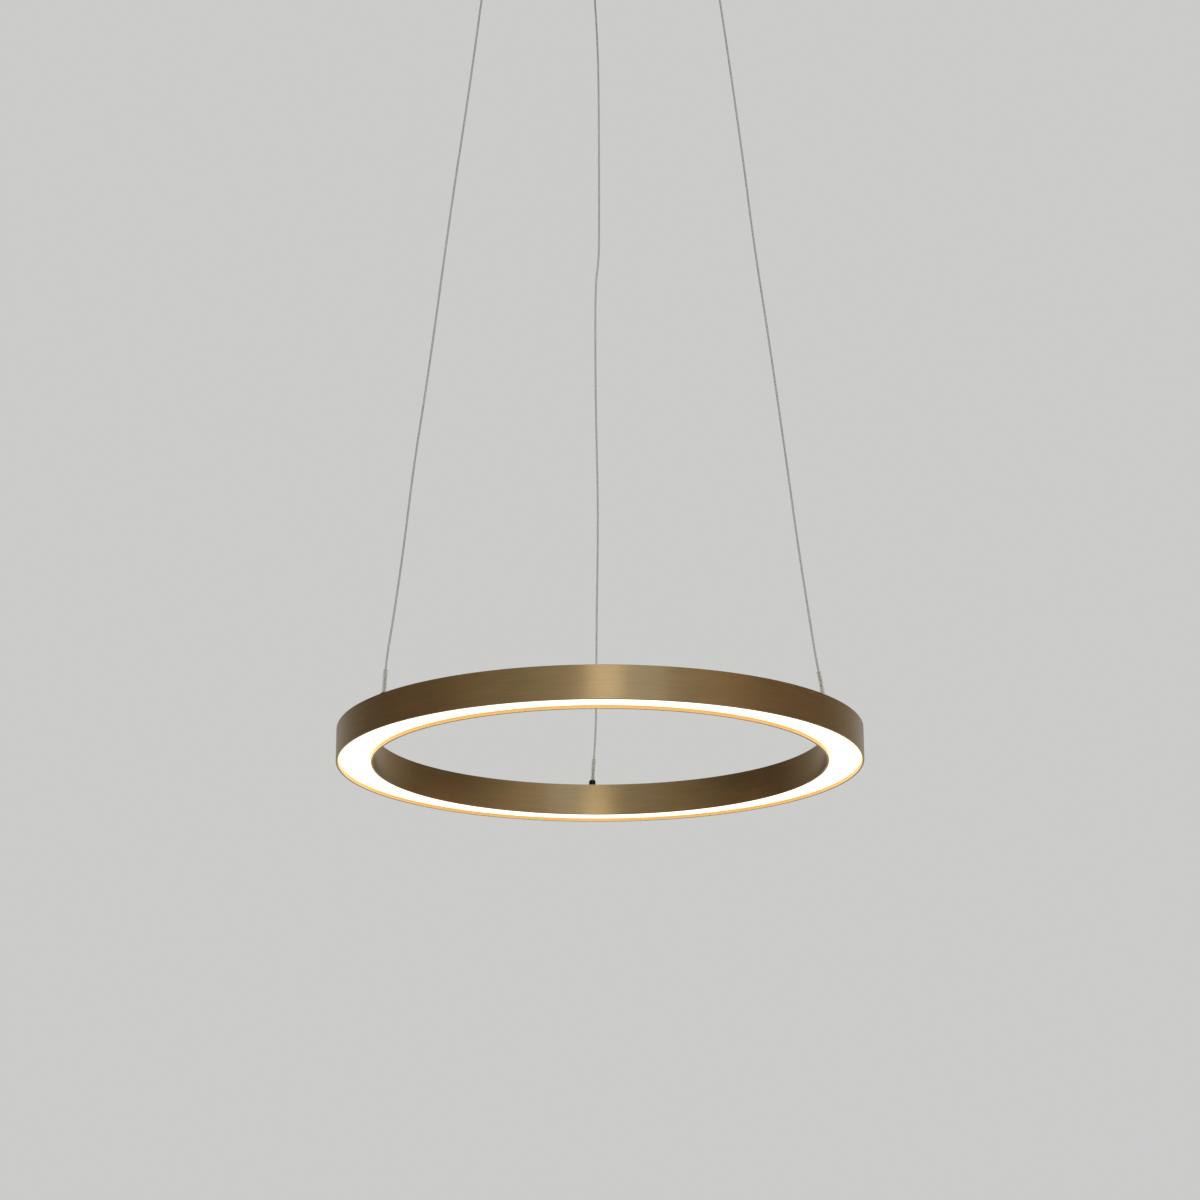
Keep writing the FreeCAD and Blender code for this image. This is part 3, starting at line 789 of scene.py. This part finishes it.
# ---- the ring ----
@dataclass
class RingBody:
    """The ring: its channel, the diffuser below and what is inside."""

    width: float = 28 * MILLIMETRE
    wall: float = 1.5 * MILLIMETRE
    edge: float = 0.35 * MILLIMETRE  # rounding of the channel's edges
    plate: float = 2.0 * MILLIMETRE  # the diffuser's thickness
    leg: float = 1.2 * MILLIMETRE
    soft: float = 0.4 * MILLIMETRE  # rounding of its lower edges
    play: float = 0.1 * MILLIMETRE  # how much narrower than the channel's inside it is
    segments: int = 288

    def build(self) -> None:
        """Builds the channel and the diffuser, and dresses the pieces inside."""
        self.channel()
        self.diffuser()
        for node, finish in (
            ("led_carrier", TRAY), ("carrier_posts", TRAY), ("carrier_screws", ZINC),
            ("fitting_nuts", ZINC), ("led_board", BOARD), ("led_chips", PHOSPHOR),
            ("ring_connector", WHITE), ("led_lead_left", COMPONENT), ("led_lead_right", COMPONENT),
        ):  # fmt: skip
            dress(node, finish)

    def channel(self) -> None:
        """The rolled channel, open downwards."""
        low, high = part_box("ring_housing")
        outer = high.x
        inner = outer - self.width
        outline = rounded(
            [
                Corner(outer, low.z, self.edge),
                Corner(outer, high.z, self.edge),
                Corner(inner, high.z, self.edge),
                Corner(inner, low.z, self.edge),
                Corner(inner + self.wall, low.z, self.edge / 2),
                Corner(inner + self.wall, high.z - self.wall),
                Corner(outer - self.wall, high.z - self.wall),
                Corner(outer - self.wall, low.z, self.edge / 2),
            ]
        )
        piece = lathe("ring_channel", outline, BRASS, self.segments)
        settle(piece, Body.RING.value, "ring_housing")

    def diffuser(self) -> None:
        """The opal cover, with its legs up inside the channel."""
        low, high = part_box("diffuser")
        outer = high.x
        inner = outer - (self.width - 2 * self.wall) + self.play
        top = low.z + self.plate
        outline = rounded(
            [
                Corner(outer, low.z, self.soft),
                Corner(outer, high.z),
                Corner(outer - self.leg, high.z),
                Corner(outer - self.leg, top),
                Corner(inner + self.leg, top),
                Corner(inner + self.leg, high.z),
                Corner(inner, high.z),
                Corner(inner, low.z, self.soft),
            ]
        )
        piece = lathe("opal_diffuser", outline, OPAL, self.segments)
        settle(piece, Body.RING.value, "diffuser")


# ---- the suspension ----
# Each wire's route: out from the axis, aside, and over the ring's lowest face, in metres.
FOOT: tuple[Point3, ...] = ((0.1860, 0.0, 0.0120), (0.1860, 0.0, 0.0318))
HEAD: tuple[Point3, ...] = ((0.0970, 0.0, 0.7140), (0.0970, 0.0, 0.7290))
ROUTES: dict[Side, tuple[Point3, ...]] = {
    Side.LEFT: (
        *FOOT,
        (0.1845, 0.0, 0.0570),
        (0.1794, 0.0, 0.0880),
        (0.1718, 0.0, 0.1430),
        (0.1639, 0.0, 0.2130),
        (0.1528, 0.0, 0.2860),
        (0.1337, 0.0, 0.4360),
        (0.1222, 0.0, 0.5140),
        (0.1116, 0.0, 0.5940),
        *HEAD,
    ),
    Side.RIGHT: (
        *FOOT,
        (0.1812, 0.0, 0.0570),
        (0.1779, 0.0, 0.0800),
        (0.1689, 0.0, 0.1450),
        (0.1606, 0.0, 0.2160),
        (0.1470, 0.0, 0.3260),
        (0.1367, 0.0, 0.4010),
        (0.1286, 0.0, 0.4770),
        (0.1114, 0.0, 0.6160),
        *HEAD,
    ),
    Side.REAR: (
        *FOOT,
        (0.1827, -0.0020, 0.0570),
        (0.1784, -0.0033, 0.0900),
        (0.1706, -0.0032, 0.1500),
        (0.1569, -0.0047, 0.2550),
        (0.1452, -0.0023, 0.3450),
        (0.1347, -0.0019, 0.4250),
        (0.1312, -0.0025, 0.4520),
        (0.1291, -0.0047, 0.4680),
        (0.1262, -0.0051, 0.4900),
        (0.1158, -0.0049, 0.5700),
        (0.1054, -0.0042, 0.6500),
        *HEAD,
    ),
}


@dataclass
class SuspensionWire:
    """One wire: a stranded steel core in a clear sheath, its fitting and its sleeve on the ring."""

    side: Side
    length: float = 0.723
    diameter: float = 1.6 * MILLIMETRE
    core: float = 1.05 * MILLIMETRE
    strands: int = 12  # in the core's outer layer
    strand_points: int = 3  # outline points on each
    lay: float = 9 * MILLIMETRE  # length of one turn of a strand
    lay_steps: int = 18  # steps of the core's mesh in one turn
    fitting_groove: float = 0.25 * MILLIMETRE
    sleeve_radius: float = 1.6 * MILLIMETRE
    sleeve_wall: float = 0.4 * MILLIMETRE
    held_below: float = 4.3 * MILLIMETRE  # where the wire keeps its place, under the sleeve's top

    def build(self) -> None:
        """Builds the fitting, the sleeve, the core and the sheath."""
        self.fitting()
        line = spline_line(self.route())
        self.sleeve(line)
        core = self.stranded_core(line)
        self.sheath(line)
        dress("wire_ferrule_" + self.side.label, ZINC)

    def route(self) -> list[Vector]:
        """The route's points in the row frame.

        Returns:
            The points, from the ring up.
        """
        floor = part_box("ring_housing")[0].z
        azimuth = math.radians(self.side.value)
        outward = Vector((math.cos(azimuth), math.sin(azimuth), 0.0))
        leftward = Vector((-outward.y, outward.x, 0.0))
        return [
            outward * out + leftward * aside + Vector((0.0, 0.0, floor + over))
            for out, aside, over in ROUTES[self.side]
        ]

    def fitting(self) -> None:
        """The dark domed stud on the ring's top."""
        node = "cable_fitting_" + self.side.label
        low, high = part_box(node)
        half, top = (high.x - low.x) / 2, high.z
        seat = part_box("ring_housing")[1].z
        bore, shank = 1.3 * MILLIMETRE, 2.0 * MILLIMETRE
        waist = seat + 1.5 * MILLIMETRE
        groove, lip, foot = half - self.fitting_groove, 0.08 * MILLIMETRE, 0.1 * MILLIMETRE
        outline = rounded(
            [
                Corner(bore, low.z),
                Corner(shank, low.z, 0.2 * MILLIMETRE),
                Corner(shank, seat),
                Corner(half, seat, 0.15 * MILLIMETRE),
                Corner(half, waist, lip),
                Corner(groove, waist + 0.15 * MILLIMETRE, foot),
                Corner(groove, waist + 0.45 * MILLIMETRE, foot),
                Corner(half, waist + 0.6 * MILLIMETRE, lip),
                Corner(half, top, 1.35 * MILLIMETRE),
                Corner(bore, top, 0.05 * MILLIMETRE),
            ],
            6,
        )
        piece = lathe("wire_fitting_" + self.side.label, outline, DARK, 64, axis_of(node))
        settle(piece, Body.RING.value, node)

    def sleeve(self, line: Sequence[Vector]) -> None:
        """The clear tube that stands on the fitting round the wire's first free stretch.

        Args:
            line: the wire's line.
        """
        node = "wire_sleeve_" + self.side.label
        low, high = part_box(node)
        inside = [point for point in evenly(line, MILLIMETRE) if low.z <= point.z <= high.z]
        path = [Vector((inside[0].x, inside[0].y, low.z)), *inside]
        longer = [path[0] * 2 - path[1], *path, path[-1] * 2 - path[-2]]
        outer = circle(self.sleeve_radius, 32)
        bore = circle(self.sleeve_radius - self.sleeve_wall, 32)
        shell = sweep("clear_sleeve_" + self.side.label, path, lambda _: outer, SLEEVE)
        cut_away(shell, [sweep("cutter", longer, lambda _: bore, SLEEVE)])
        settle(shell, Body.RING.value, node)

    def stranded_core(self, line: Sequence[Vector]) -> bpy.types.Object:
        """The steel core, with the twelve outer of its nineteen strands laid round it.

        Args:
            line: the wire's line.

        Returns:
            The core.
        """
        strand = self.core / 10  # its radius: five strands lie side by side across the core
        centre = 4 * strand
        count = self.strands * self.strand_points

        def section(along: float) -> list[Point2]:
            """The bundle's outline, turned by the lay.

            Args:
                along: the distance along the bundle.

            Returns:
                The outline's points.
            """
            points = []
            for index in range(count):
                step = index % self.strand_points - (self.strand_points - 1) / 2
                off = step * FULL_TURN / count
                reach = centre * math.cos(off)
                reach += math.sqrt(max(0.0, strand**2 - (centre * math.sin(off)) ** 2))
                angle = FULL_TURN * (index / count + along / self.lay)
                points.append((reach * math.cos(angle), reach * math.sin(angle)))
            return points

        path = evenly(line, self.lay / self.lay_steps)
        piece = sweep("wire_core_" + self.side.label, path, section, ZINC)
        self.shorten(piece)
        LOG.info("built %s", piece.name)
        return piece

    def sheath(self, line: Sequence[Vector]) -> None:
        """The clear sheath, which is the wire's real outside.

        Args:
            line: the wire's line.
        """
        node = "suspension_wire_" + self.side.label
        path = evenly(line, 2.5 * MILLIMETRE)
        outer = circle(self.diameter / 2, 20)
        piece = sweep("wire_" + self.side.label, path, lambda _: outer, SHEATH)
        self.shorten(piece)
        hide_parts(node)
        LOG.info("built %s", piece.name)

    def shorten(self, piece: bpy.types.Object) -> None:
        """Hangs a piece of the wire from the canopy; it isn't drawn up as the ring rises.

        Args:
            piece: the core or the sheath.
        """
        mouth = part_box("gripper_plunger_" + self.side.label)[0].z
        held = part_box("wire_sleeve_" + self.side.label)[1].z - self.held_below
        draw_up(piece, "height_adjust", mouth, held)


def draw_up(piece: bpy.types.Object, joint: str, top: float, moving: float) -> None:
    """Hangs a piece from the canopy with its own mesh; it isn't shortened as a joint moves.

    Args:
        piece: the piece.
        joint: the joint's name.
        top: the height that stays.
        moving: the height that moves by the joint's whole travel.
    """
    travel = next(row for row in frame["joints"] if row["name"] == joint)["range_m"][1]
    keep = 1 - travel / (top - moving)
    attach(piece, Body.CANOPY.value)
    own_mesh(piece)


def cut_away(piece: bpy.types.Object, cutters: Sequence[bpy.types.Object]) -> None:
    """Subtracts cutters from a piece's mesh and removes them.

    Args:
        piece: the piece.
        cutters: closed solids.
    """
    for cutter in cutters:
        cut = piece.modifiers.new("cut", "BOOLEAN")
        cut.operation = "DIFFERENCE"
        cut.solver = "EXACT"
        cut.object = cutter
    graph = bpy.context.evaluated_depsgraph_get()
    mesh = bpy.data.meshes.new_from_object(piece.evaluated_get(graph))
    piece.modifiers.clear()
    piece.data = mesh
    for cutter in cutters:
        bpy.data.objects.remove(cutter)
    shade(piece)


# ---- the adjusters ----
@dataclass
class Adjuster:
    """One wire adjuster: a barrel with a threaded stud, its release plunger and the spring."""

    side: Side
    barrel: float = 5.5 * MILLIMETRE  # this and the next three are radii
    stud: float = 4.8 * MILLIMETRE
    bore: float = 1.2 * MILLIMETRE
    mouth: float = 2.6 * MILLIMETRE
    pitch: float = 1.0 * MILLIMETRE
    thread: float = 0.45 * MILLIMETRE
    rows: int = 8  # outline points in one turn of thread
    spring_wire: float = 0.45 * MILLIMETRE
    coils: int = 6
    coil_steps: int = 24

    def build(self) -> None:
        """Builds the barrel, the plunger and the spring, and dresses what is inside."""
        self.body()
        self.plunger()
        self.spring()
        dress("gripper_balls_" + self.side.label, ZINC)
        dress("wire_tail_" + self.side.label, SHEATH)

    def spring(self) -> None:
        """The spring over the plunger's flange, which the plunger compresses."""
        node = "gripper_spring_" + self.side.label
        low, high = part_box(node)
        centre = axis_of(node)
        reach = (high.x - low.x - self.spring_wire) / 2
        rise = high.z - low.z - self.spring_wire
        steps = self.coils * self.coil_steps
        line = []
        for step in range(steps + 1):
            angle = FULL_TURN * self.coils * step / steps
            height = low.z + self.spring_wire / 2 + rise * step / steps
            line.append(centre + Vector((reach * math.cos(angle), reach * math.sin(angle), height)))
        section = circle(self.spring_wire / 2, 12)
        piece = sweep("adjuster_spring_" + self.side.label, line, lambda _: section, ZINC)
        draw_up(piece, "release_" + self.side.label, high.z, low.z)
        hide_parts(node)
        LOG.info("built %s", piece.name)

    def body(self) -> None:
        """The barrel, with the chuck inside and the thread on its stud."""
        node = "gripper_body_" + self.side.label
        low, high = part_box(node)
        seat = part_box("canopy_cover")[0].z
        chamber, cone = 3.7 * MILLIMETRE, seat - 6 * MILLIMETRE
        roof = high.z - 3 * MILLIMETRE
        corners = [
            Corner(self.mouth, low.z, 0.2 * MILLIMETRE),
            Corner(self.barrel, low.z, 0.8 * MILLIMETRE),
            Corner(self.barrel, seat, 0.15 * MILLIMETRE),
            Corner(self.stud, seat),
        ]
        count = round((high.z - seat) / self.pitch * self.rows)
        corners += [Corner(self.stud, seat + (high.z - seat) * k / count) for k in range(1, count)]
        corners += [
            Corner(self.stud, high.z, 0.3 * MILLIMETRE),
            Corner(self.bore, high.z),
            Corner(self.bore, roof),
            Corner(chamber, roof),
            Corner(chamber, cone),
            Corner(self.mouth, cone - 5 * MILLIMETRE),
        ]

        def threaded(radius: float, height: float, angle: float) -> float:
            """Winds a groove round the stud, which runs out at both ends.

            Args:
                radius: the point's radius.
                height: its height.
                angle: its angle round the axis.

            Returns:
                The radius with the groove.
            """
            if radius < self.stud - 0.4 * MILLIMETRE or height <= seat:
                return radius
            phase = (height / self.pitch - angle / FULL_TURN) % 1.0
            ends = min(1.0, (height - seat) / self.pitch, (high.z - height) / (0.5 * self.pitch))
            return radius - self.thread * max(0.0, ends) * (1 - abs(2 * phase - 1))

        name = "adjuster_barrel_" + self.side.label
        piece = lathe(name, rounded(corners, 5), NICKEL, 64, axis_of(node), threaded)
        settle(piece, Body.CANOPY.value, node)

    def plunger(self) -> None:
        """The release plunger, with a rounded lip to press."""
        node = "gripper_plunger_" + self.side.label
        low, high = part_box(node)
        stem, flange = 2.54 * MILLIMETRE, 3.6 * MILLIMETRE
        flange_low = high.z - 1.5 * MILLIMETRE
        outline = rounded(
            [
                Corner(self.bore, low.z, 0.15 * MILLIMETRE),
                Corner(stem, low.z, 0.5 * MILLIMETRE),
                Corner(stem, flange_low),
                Corner(flange, flange_low),
                Corner(flange, high.z),
                Corner(self.bore, high.z),
            ],
            5,
        )
        piece = lathe("adjuster_plunger_" + self.side.label, outline, NICKEL, 48, axis_of(node))
        settle(piece, "release_" + self.side.label, node)


# ---- the canopy ----
@dataclass
class Canopy:
    """The spun cup on the ceiling, and the bracket, driver and terminals in it."""

    wall: float = 1.2 * MILLIMETRE
    edge: float = 3.0 * MILLIMETRE
    stud_hole: float = 4.9 * MILLIMETRE
    screw_hole: float = 2.25 * MILLIMETRE
    segments: int = 240

    def build(self) -> None:
        """Builds the cup and dresses everything it covers."""
        self.cup()
        for node, finish, width in (
            ("ceiling_bracket", ZINC, 0.25), ("driver_case", WHITE, 0.9),
            ("driver_lid", WHITE, 0.5), ("terminal_block", WHITE, 0.5),
            ("driver_board", BOARD, 0.1),
        ):  # fmt: skip
            soften(node, finish, width * MILLIMETRE)
        for node, finish in (
            ("side_screws", BRASS), ("gripper_nuts", ZINC), ("inlet_grommet", RUBBER),
            ("driver_components", COMPONENT), ("driver_screws", ZINC), ("terminal_screws", ZINC),
            ("earth_screw", ZINC), ("earth_lead", EARTH), ("live_lead", LIVE),
            ("neutral_lead", NEUTRAL),
        ):  # fmt: skip
            dress(node, finish)

    def cup(self) -> None:
        """The cup, open towards the ceiling, with its holes."""
        low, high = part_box("canopy_cover")
        outer = high.x
        inner, floor = outer - self.wall, low.z + self.wall
        rim = 0.2 * MILLIMETRE
        near_axis = 0.05 * MILLIMETRE
        outline = rounded(
            [
                Corner(near_axis, low.z),
                Corner(outer, low.z, self.edge),
                Corner(outer, high.z, rim),
                Corner(inner, high.z, rim),
                Corner(inner, floor, self.edge - self.wall),
                Corner(near_axis, floor),
            ],
            8,
        )
        piece = lathe("canopy_cup", outline, BRASS, self.segments)
        fill_pin_hole(piece, near_axis)
        cut_away(piece, [*self.stud_cutters(low.z, floor), self.screw_cutter(outer)])
        settle(piece, Body.CANOPY.value, "canopy_cover")

    def stud_cutters(self, low: float, floor: float) -> list[bpy.types.Object]:
        """A cylinder for each adjuster's stud, through the cup's floor.

        Args:
            low: the height of the floor's lower face.
            floor: the height of its upper face.

        Returns:
            The cylinders.
        """
        cutters = []
        for side in Side:
            axis = axis_of("gripper_body_" + side.label)
            ends = [axis + Vector((0.0, 0.0, z)) for z in (low - self.wall, floor + self.wall)]
            cutters.append(sweep("cutter", ends, lambda _: circle(self.stud_hole, 48), BRASS))
        return cutters

    def screw_cutter(self, outer: float) -> bpy.types.Object:
        """A cylinder for the side screws, through the cup's wall on both sides.

        Args:
            outer: the cup's radius.

        Returns:
            The cylinder.
        """
        height = box_middle("side_screws").z
        ends = [Vector((-outer * 1.1, 0.0, height)), Vector((outer * 1.1, 0.0, height))]
        return sweep("cutter", ends, lambda _: circle(self.screw_hole, 32), BRASS)


def fill_pin_hole(piece: bpy.types.Object, radius: float) -> None:
    """Draws the tiny circles round the axis together, so that the floor has no hole there.

    Args:
        piece: the cup.
        radius: the circles' radius.
    """
    work = bmesh.new()
    work.from_mesh(piece.data)
    bmesh.ops.remove_doubles(
        work, verts=[v for v in work.verts if v.co.xy.length < 2 * radius], dist=4 * radius
    )
    work.to_mesh(piece.data)
    work.free()


# ---- the studio ----
@dataclass(frozen=True)
class Lamp:
    """A soft rectangular lamp."""

    name: str
    place: Point3
    width: float
    height: float
    power: float  # watts
    colour: Colour = (1.0, 1.0, 1.0)

    def hang(self, target: Vector) -> None:
        """Puts the lamp in the scene.

        Args:
            target: the point that it is turned towards.
        """
        data = bpy.data.lights.new(self.name, "AREA")
        data.shape = "RECTANGLE"
        data.size, data.size_y = self.width, self.height
        data.energy, data.color = self.power, self.colour
        lamp = bpy.data.objects.new(self.name, data)
        lamp.location = self.place
        lamp.rotation_mode = "QUATERNION"
        lamp.rotation_quaternion = (target - Vector(self.place)).to_track_quat("-Z", "Y")
        lamp.visible_camera = False
        bpy.context.scene.collection.objects.link(lamp)


COOL, WARM = (0.7, 0.95, 1.4), (1.0, 0.72, 0.5)
LAMPS = (
    Lamp("front_softbox", (0.0, -3.4, 0.25), 0.8, 0.5, 2.6),
    Lamp("cool_softbox", (1.0, -3.2, 0.25), 1.0, 0.5, 1.2, COOL),
    Lamp("front_strip", (0.0, -3.4, -0.885), 0.95, 0.26, 2.5),
    Lamp("left_strip", (-3.3, -0.9, -0.885), 4.5, 0.26, 3.2, WARM),
    Lamp("right_strip", (3.3, -0.9, -0.885), 4.5, 0.26, 4.6, WARM),
    Lamp("top_softbox", (0.6, -1.0, 2.2), 2.0, 2.0, 8.0),
)


@dataclass
class Studio:
    """The camera, the pale surroundings and the soft lights."""

    camera_place: Vector = Vector((-0.07677, -2.21775, -1.29764))
    yaw: float = -1.9924
    pitch: float = 16.5331
    roll: float = 0.2
    lens: float = 90.0  # on a 36 mm sensor
    floor_height: float = -3.0
    floor_radius: float = 25.0
    backdrop: Colour = (0.60, 0.60, 0.595)
    surround: float = 0.62  # the grey that lights the object from all round
    # what polished metal sees, from behind it (0) round either side (0.5) to its front (1)
    mirrored: tuple[tuple[float, Colour], ...] = (
        (0.00, (0.40, 0.40, 0.41)),
        (0.15, (0.21, 0.19, 0.165)),
        (0.35, (0.09, 0.07, 0.056)),
        (0.63, (0.09, 0.073, 0.058)),
        (0.80, (0.20, 0.175, 0.137)),
        (1.00, (0.40, 0.39, 0.37)),
    )
    overhead: Colour = (0.42, 0.41, 0.39)  # what it sees straight above and below
    lean: float = 0.24  # how much brighter its right is than its middle
    ground: Colour = (0.78, 0.78, 0.77)  # the floor's own colour

    def build(self) -> None:
        """Sets the camera, the world, the floor and the lights."""
        self.camera()
        self.world()
        self.floor()
        target = box_middle("ring_housing")
        for lamp in LAMPS:
            lamp.hang(target)
        bpy.context.scene.view_settings.view_transform = "Standard"

    def camera(self) -> None:
        """The camera at the photograph's viewing angle."""
        data = bpy.data.cameras.new("camera")
        data.lens = self.lens
        data.sensor_width = 36.0
        camera = bpy.data.objects.new("camera", data)
        bpy.context.scene.collection.objects.link(camera)
        stand = Matrix.Translation(self.camera_place)
        for degrees, axis in ((self.yaw, "Z"), (self.pitch, "X"), (self.roll, "Y"), (90.0, "X")):
            stand @= Matrix.Rotation(math.radians(degrees), 4, axis)
        camera.matrix_world = stand
        bpy.context.scene.camera = camera

    def world(self) -> None:
        """A pale, even surround, which metal mirrors as a room."""
        world = bpy.data.worlds.new("studio")
        bpy.context.scene.world = world
        world.use_nodes = True
        shader = ShaderTree(world.node_tree)
        seen = (shader.ray("Camera") + shader.ray("Transmission")).clamped()
        plain = shader.node("ShaderNodeBackground", {}, {"Color": (self.surround,) * 3})
        shown = shader.node("ShaderNodeBackground", {}, {"Color": self.backdrop})
        lit = shader.mix(shader.ray("Glossy"), plain, self.reflected(shader))
        shader.node("ShaderNodeOutputWorld", {}, {"Surface": shader.mix(seen, lit, shown)})

    def reflected(self, shader: ShaderTree) -> Signal:
        """What metal mirrors: a pale front, dimmer and warmer sides, and a pale floor and ceiling.

        Args:
            shader: the world's tree.

        Returns:
            The shader for reflected rays.
        """
        x, y, z = shader.parts(shader.node("ShaderNodeTexCoord", output="Generated"))
        colour = shader.node("ShaderNodeValToRGB", {"stops": self.mirrored}, {"Fac": 0.5 - y * 0.5})
        left, right = (
            shader.node("ShaderNodeBackground", {}, {"Color": colour, "Strength": strength})
            for strength in (1 - self.lean, 1 + self.lean)
        )
        around = shader.mix(0.5 + x * 0.5, left, right)
        upright = shader.node("ShaderNodeBackground", {}, {"Color": self.overhead})
        return shader.mix(abs(z).step(0.4, 0.95), around, upright)

    def floor(self) -> None:
        """A plain pale floor, well below the pendant, which meets the backdrop with no line."""
        work = bmesh.new()
        bmesh.ops.create_circle(work, cap_ends=True, segments=96, radius=self.floor_radius)
        mesh = bpy.data.meshes.new("floor")
        work.to_mesh(mesh)
        work.free()
        floor = bpy.data.objects.new("floor", mesh)
        floor.location.z = self.floor_height
        bpy.context.scene.collection.objects.link(floor)
        material = bpy.data.materials.new("floor")
        material.use_nodes = True
        shader = ShaderTree(material.node_tree)
        matt = shader.node("ShaderNodeBsdfDiffuse", {}, {"Color": self.ground})
        pale = shader.node("ShaderNodeEmission", {}, {"Color": self.backdrop})
        clear = shader.node("ShaderNodeBsdfTransparent")
        seen = shader.mix(shader.ray("Camera"), matt, pale)
        final = shader.mix(shader.ray("Glossy"), seen, clear)
        shader.node("ShaderNodeOutputMaterial", {}, {"Surface": final})
        mesh.materials.append(material)


def main() -> None:
    """Builds the whole pendant and its studio."""
    logging.basicConfig(level=logging.INFO, format="%(name)s: %(message)s")
    Studio().build()
    RingBody().build()
    for side in Side:
        SuspensionWire(side).build()
        Adjuster(side).build()
    Canopy().build()


if __name__ == "__main__":
    main()
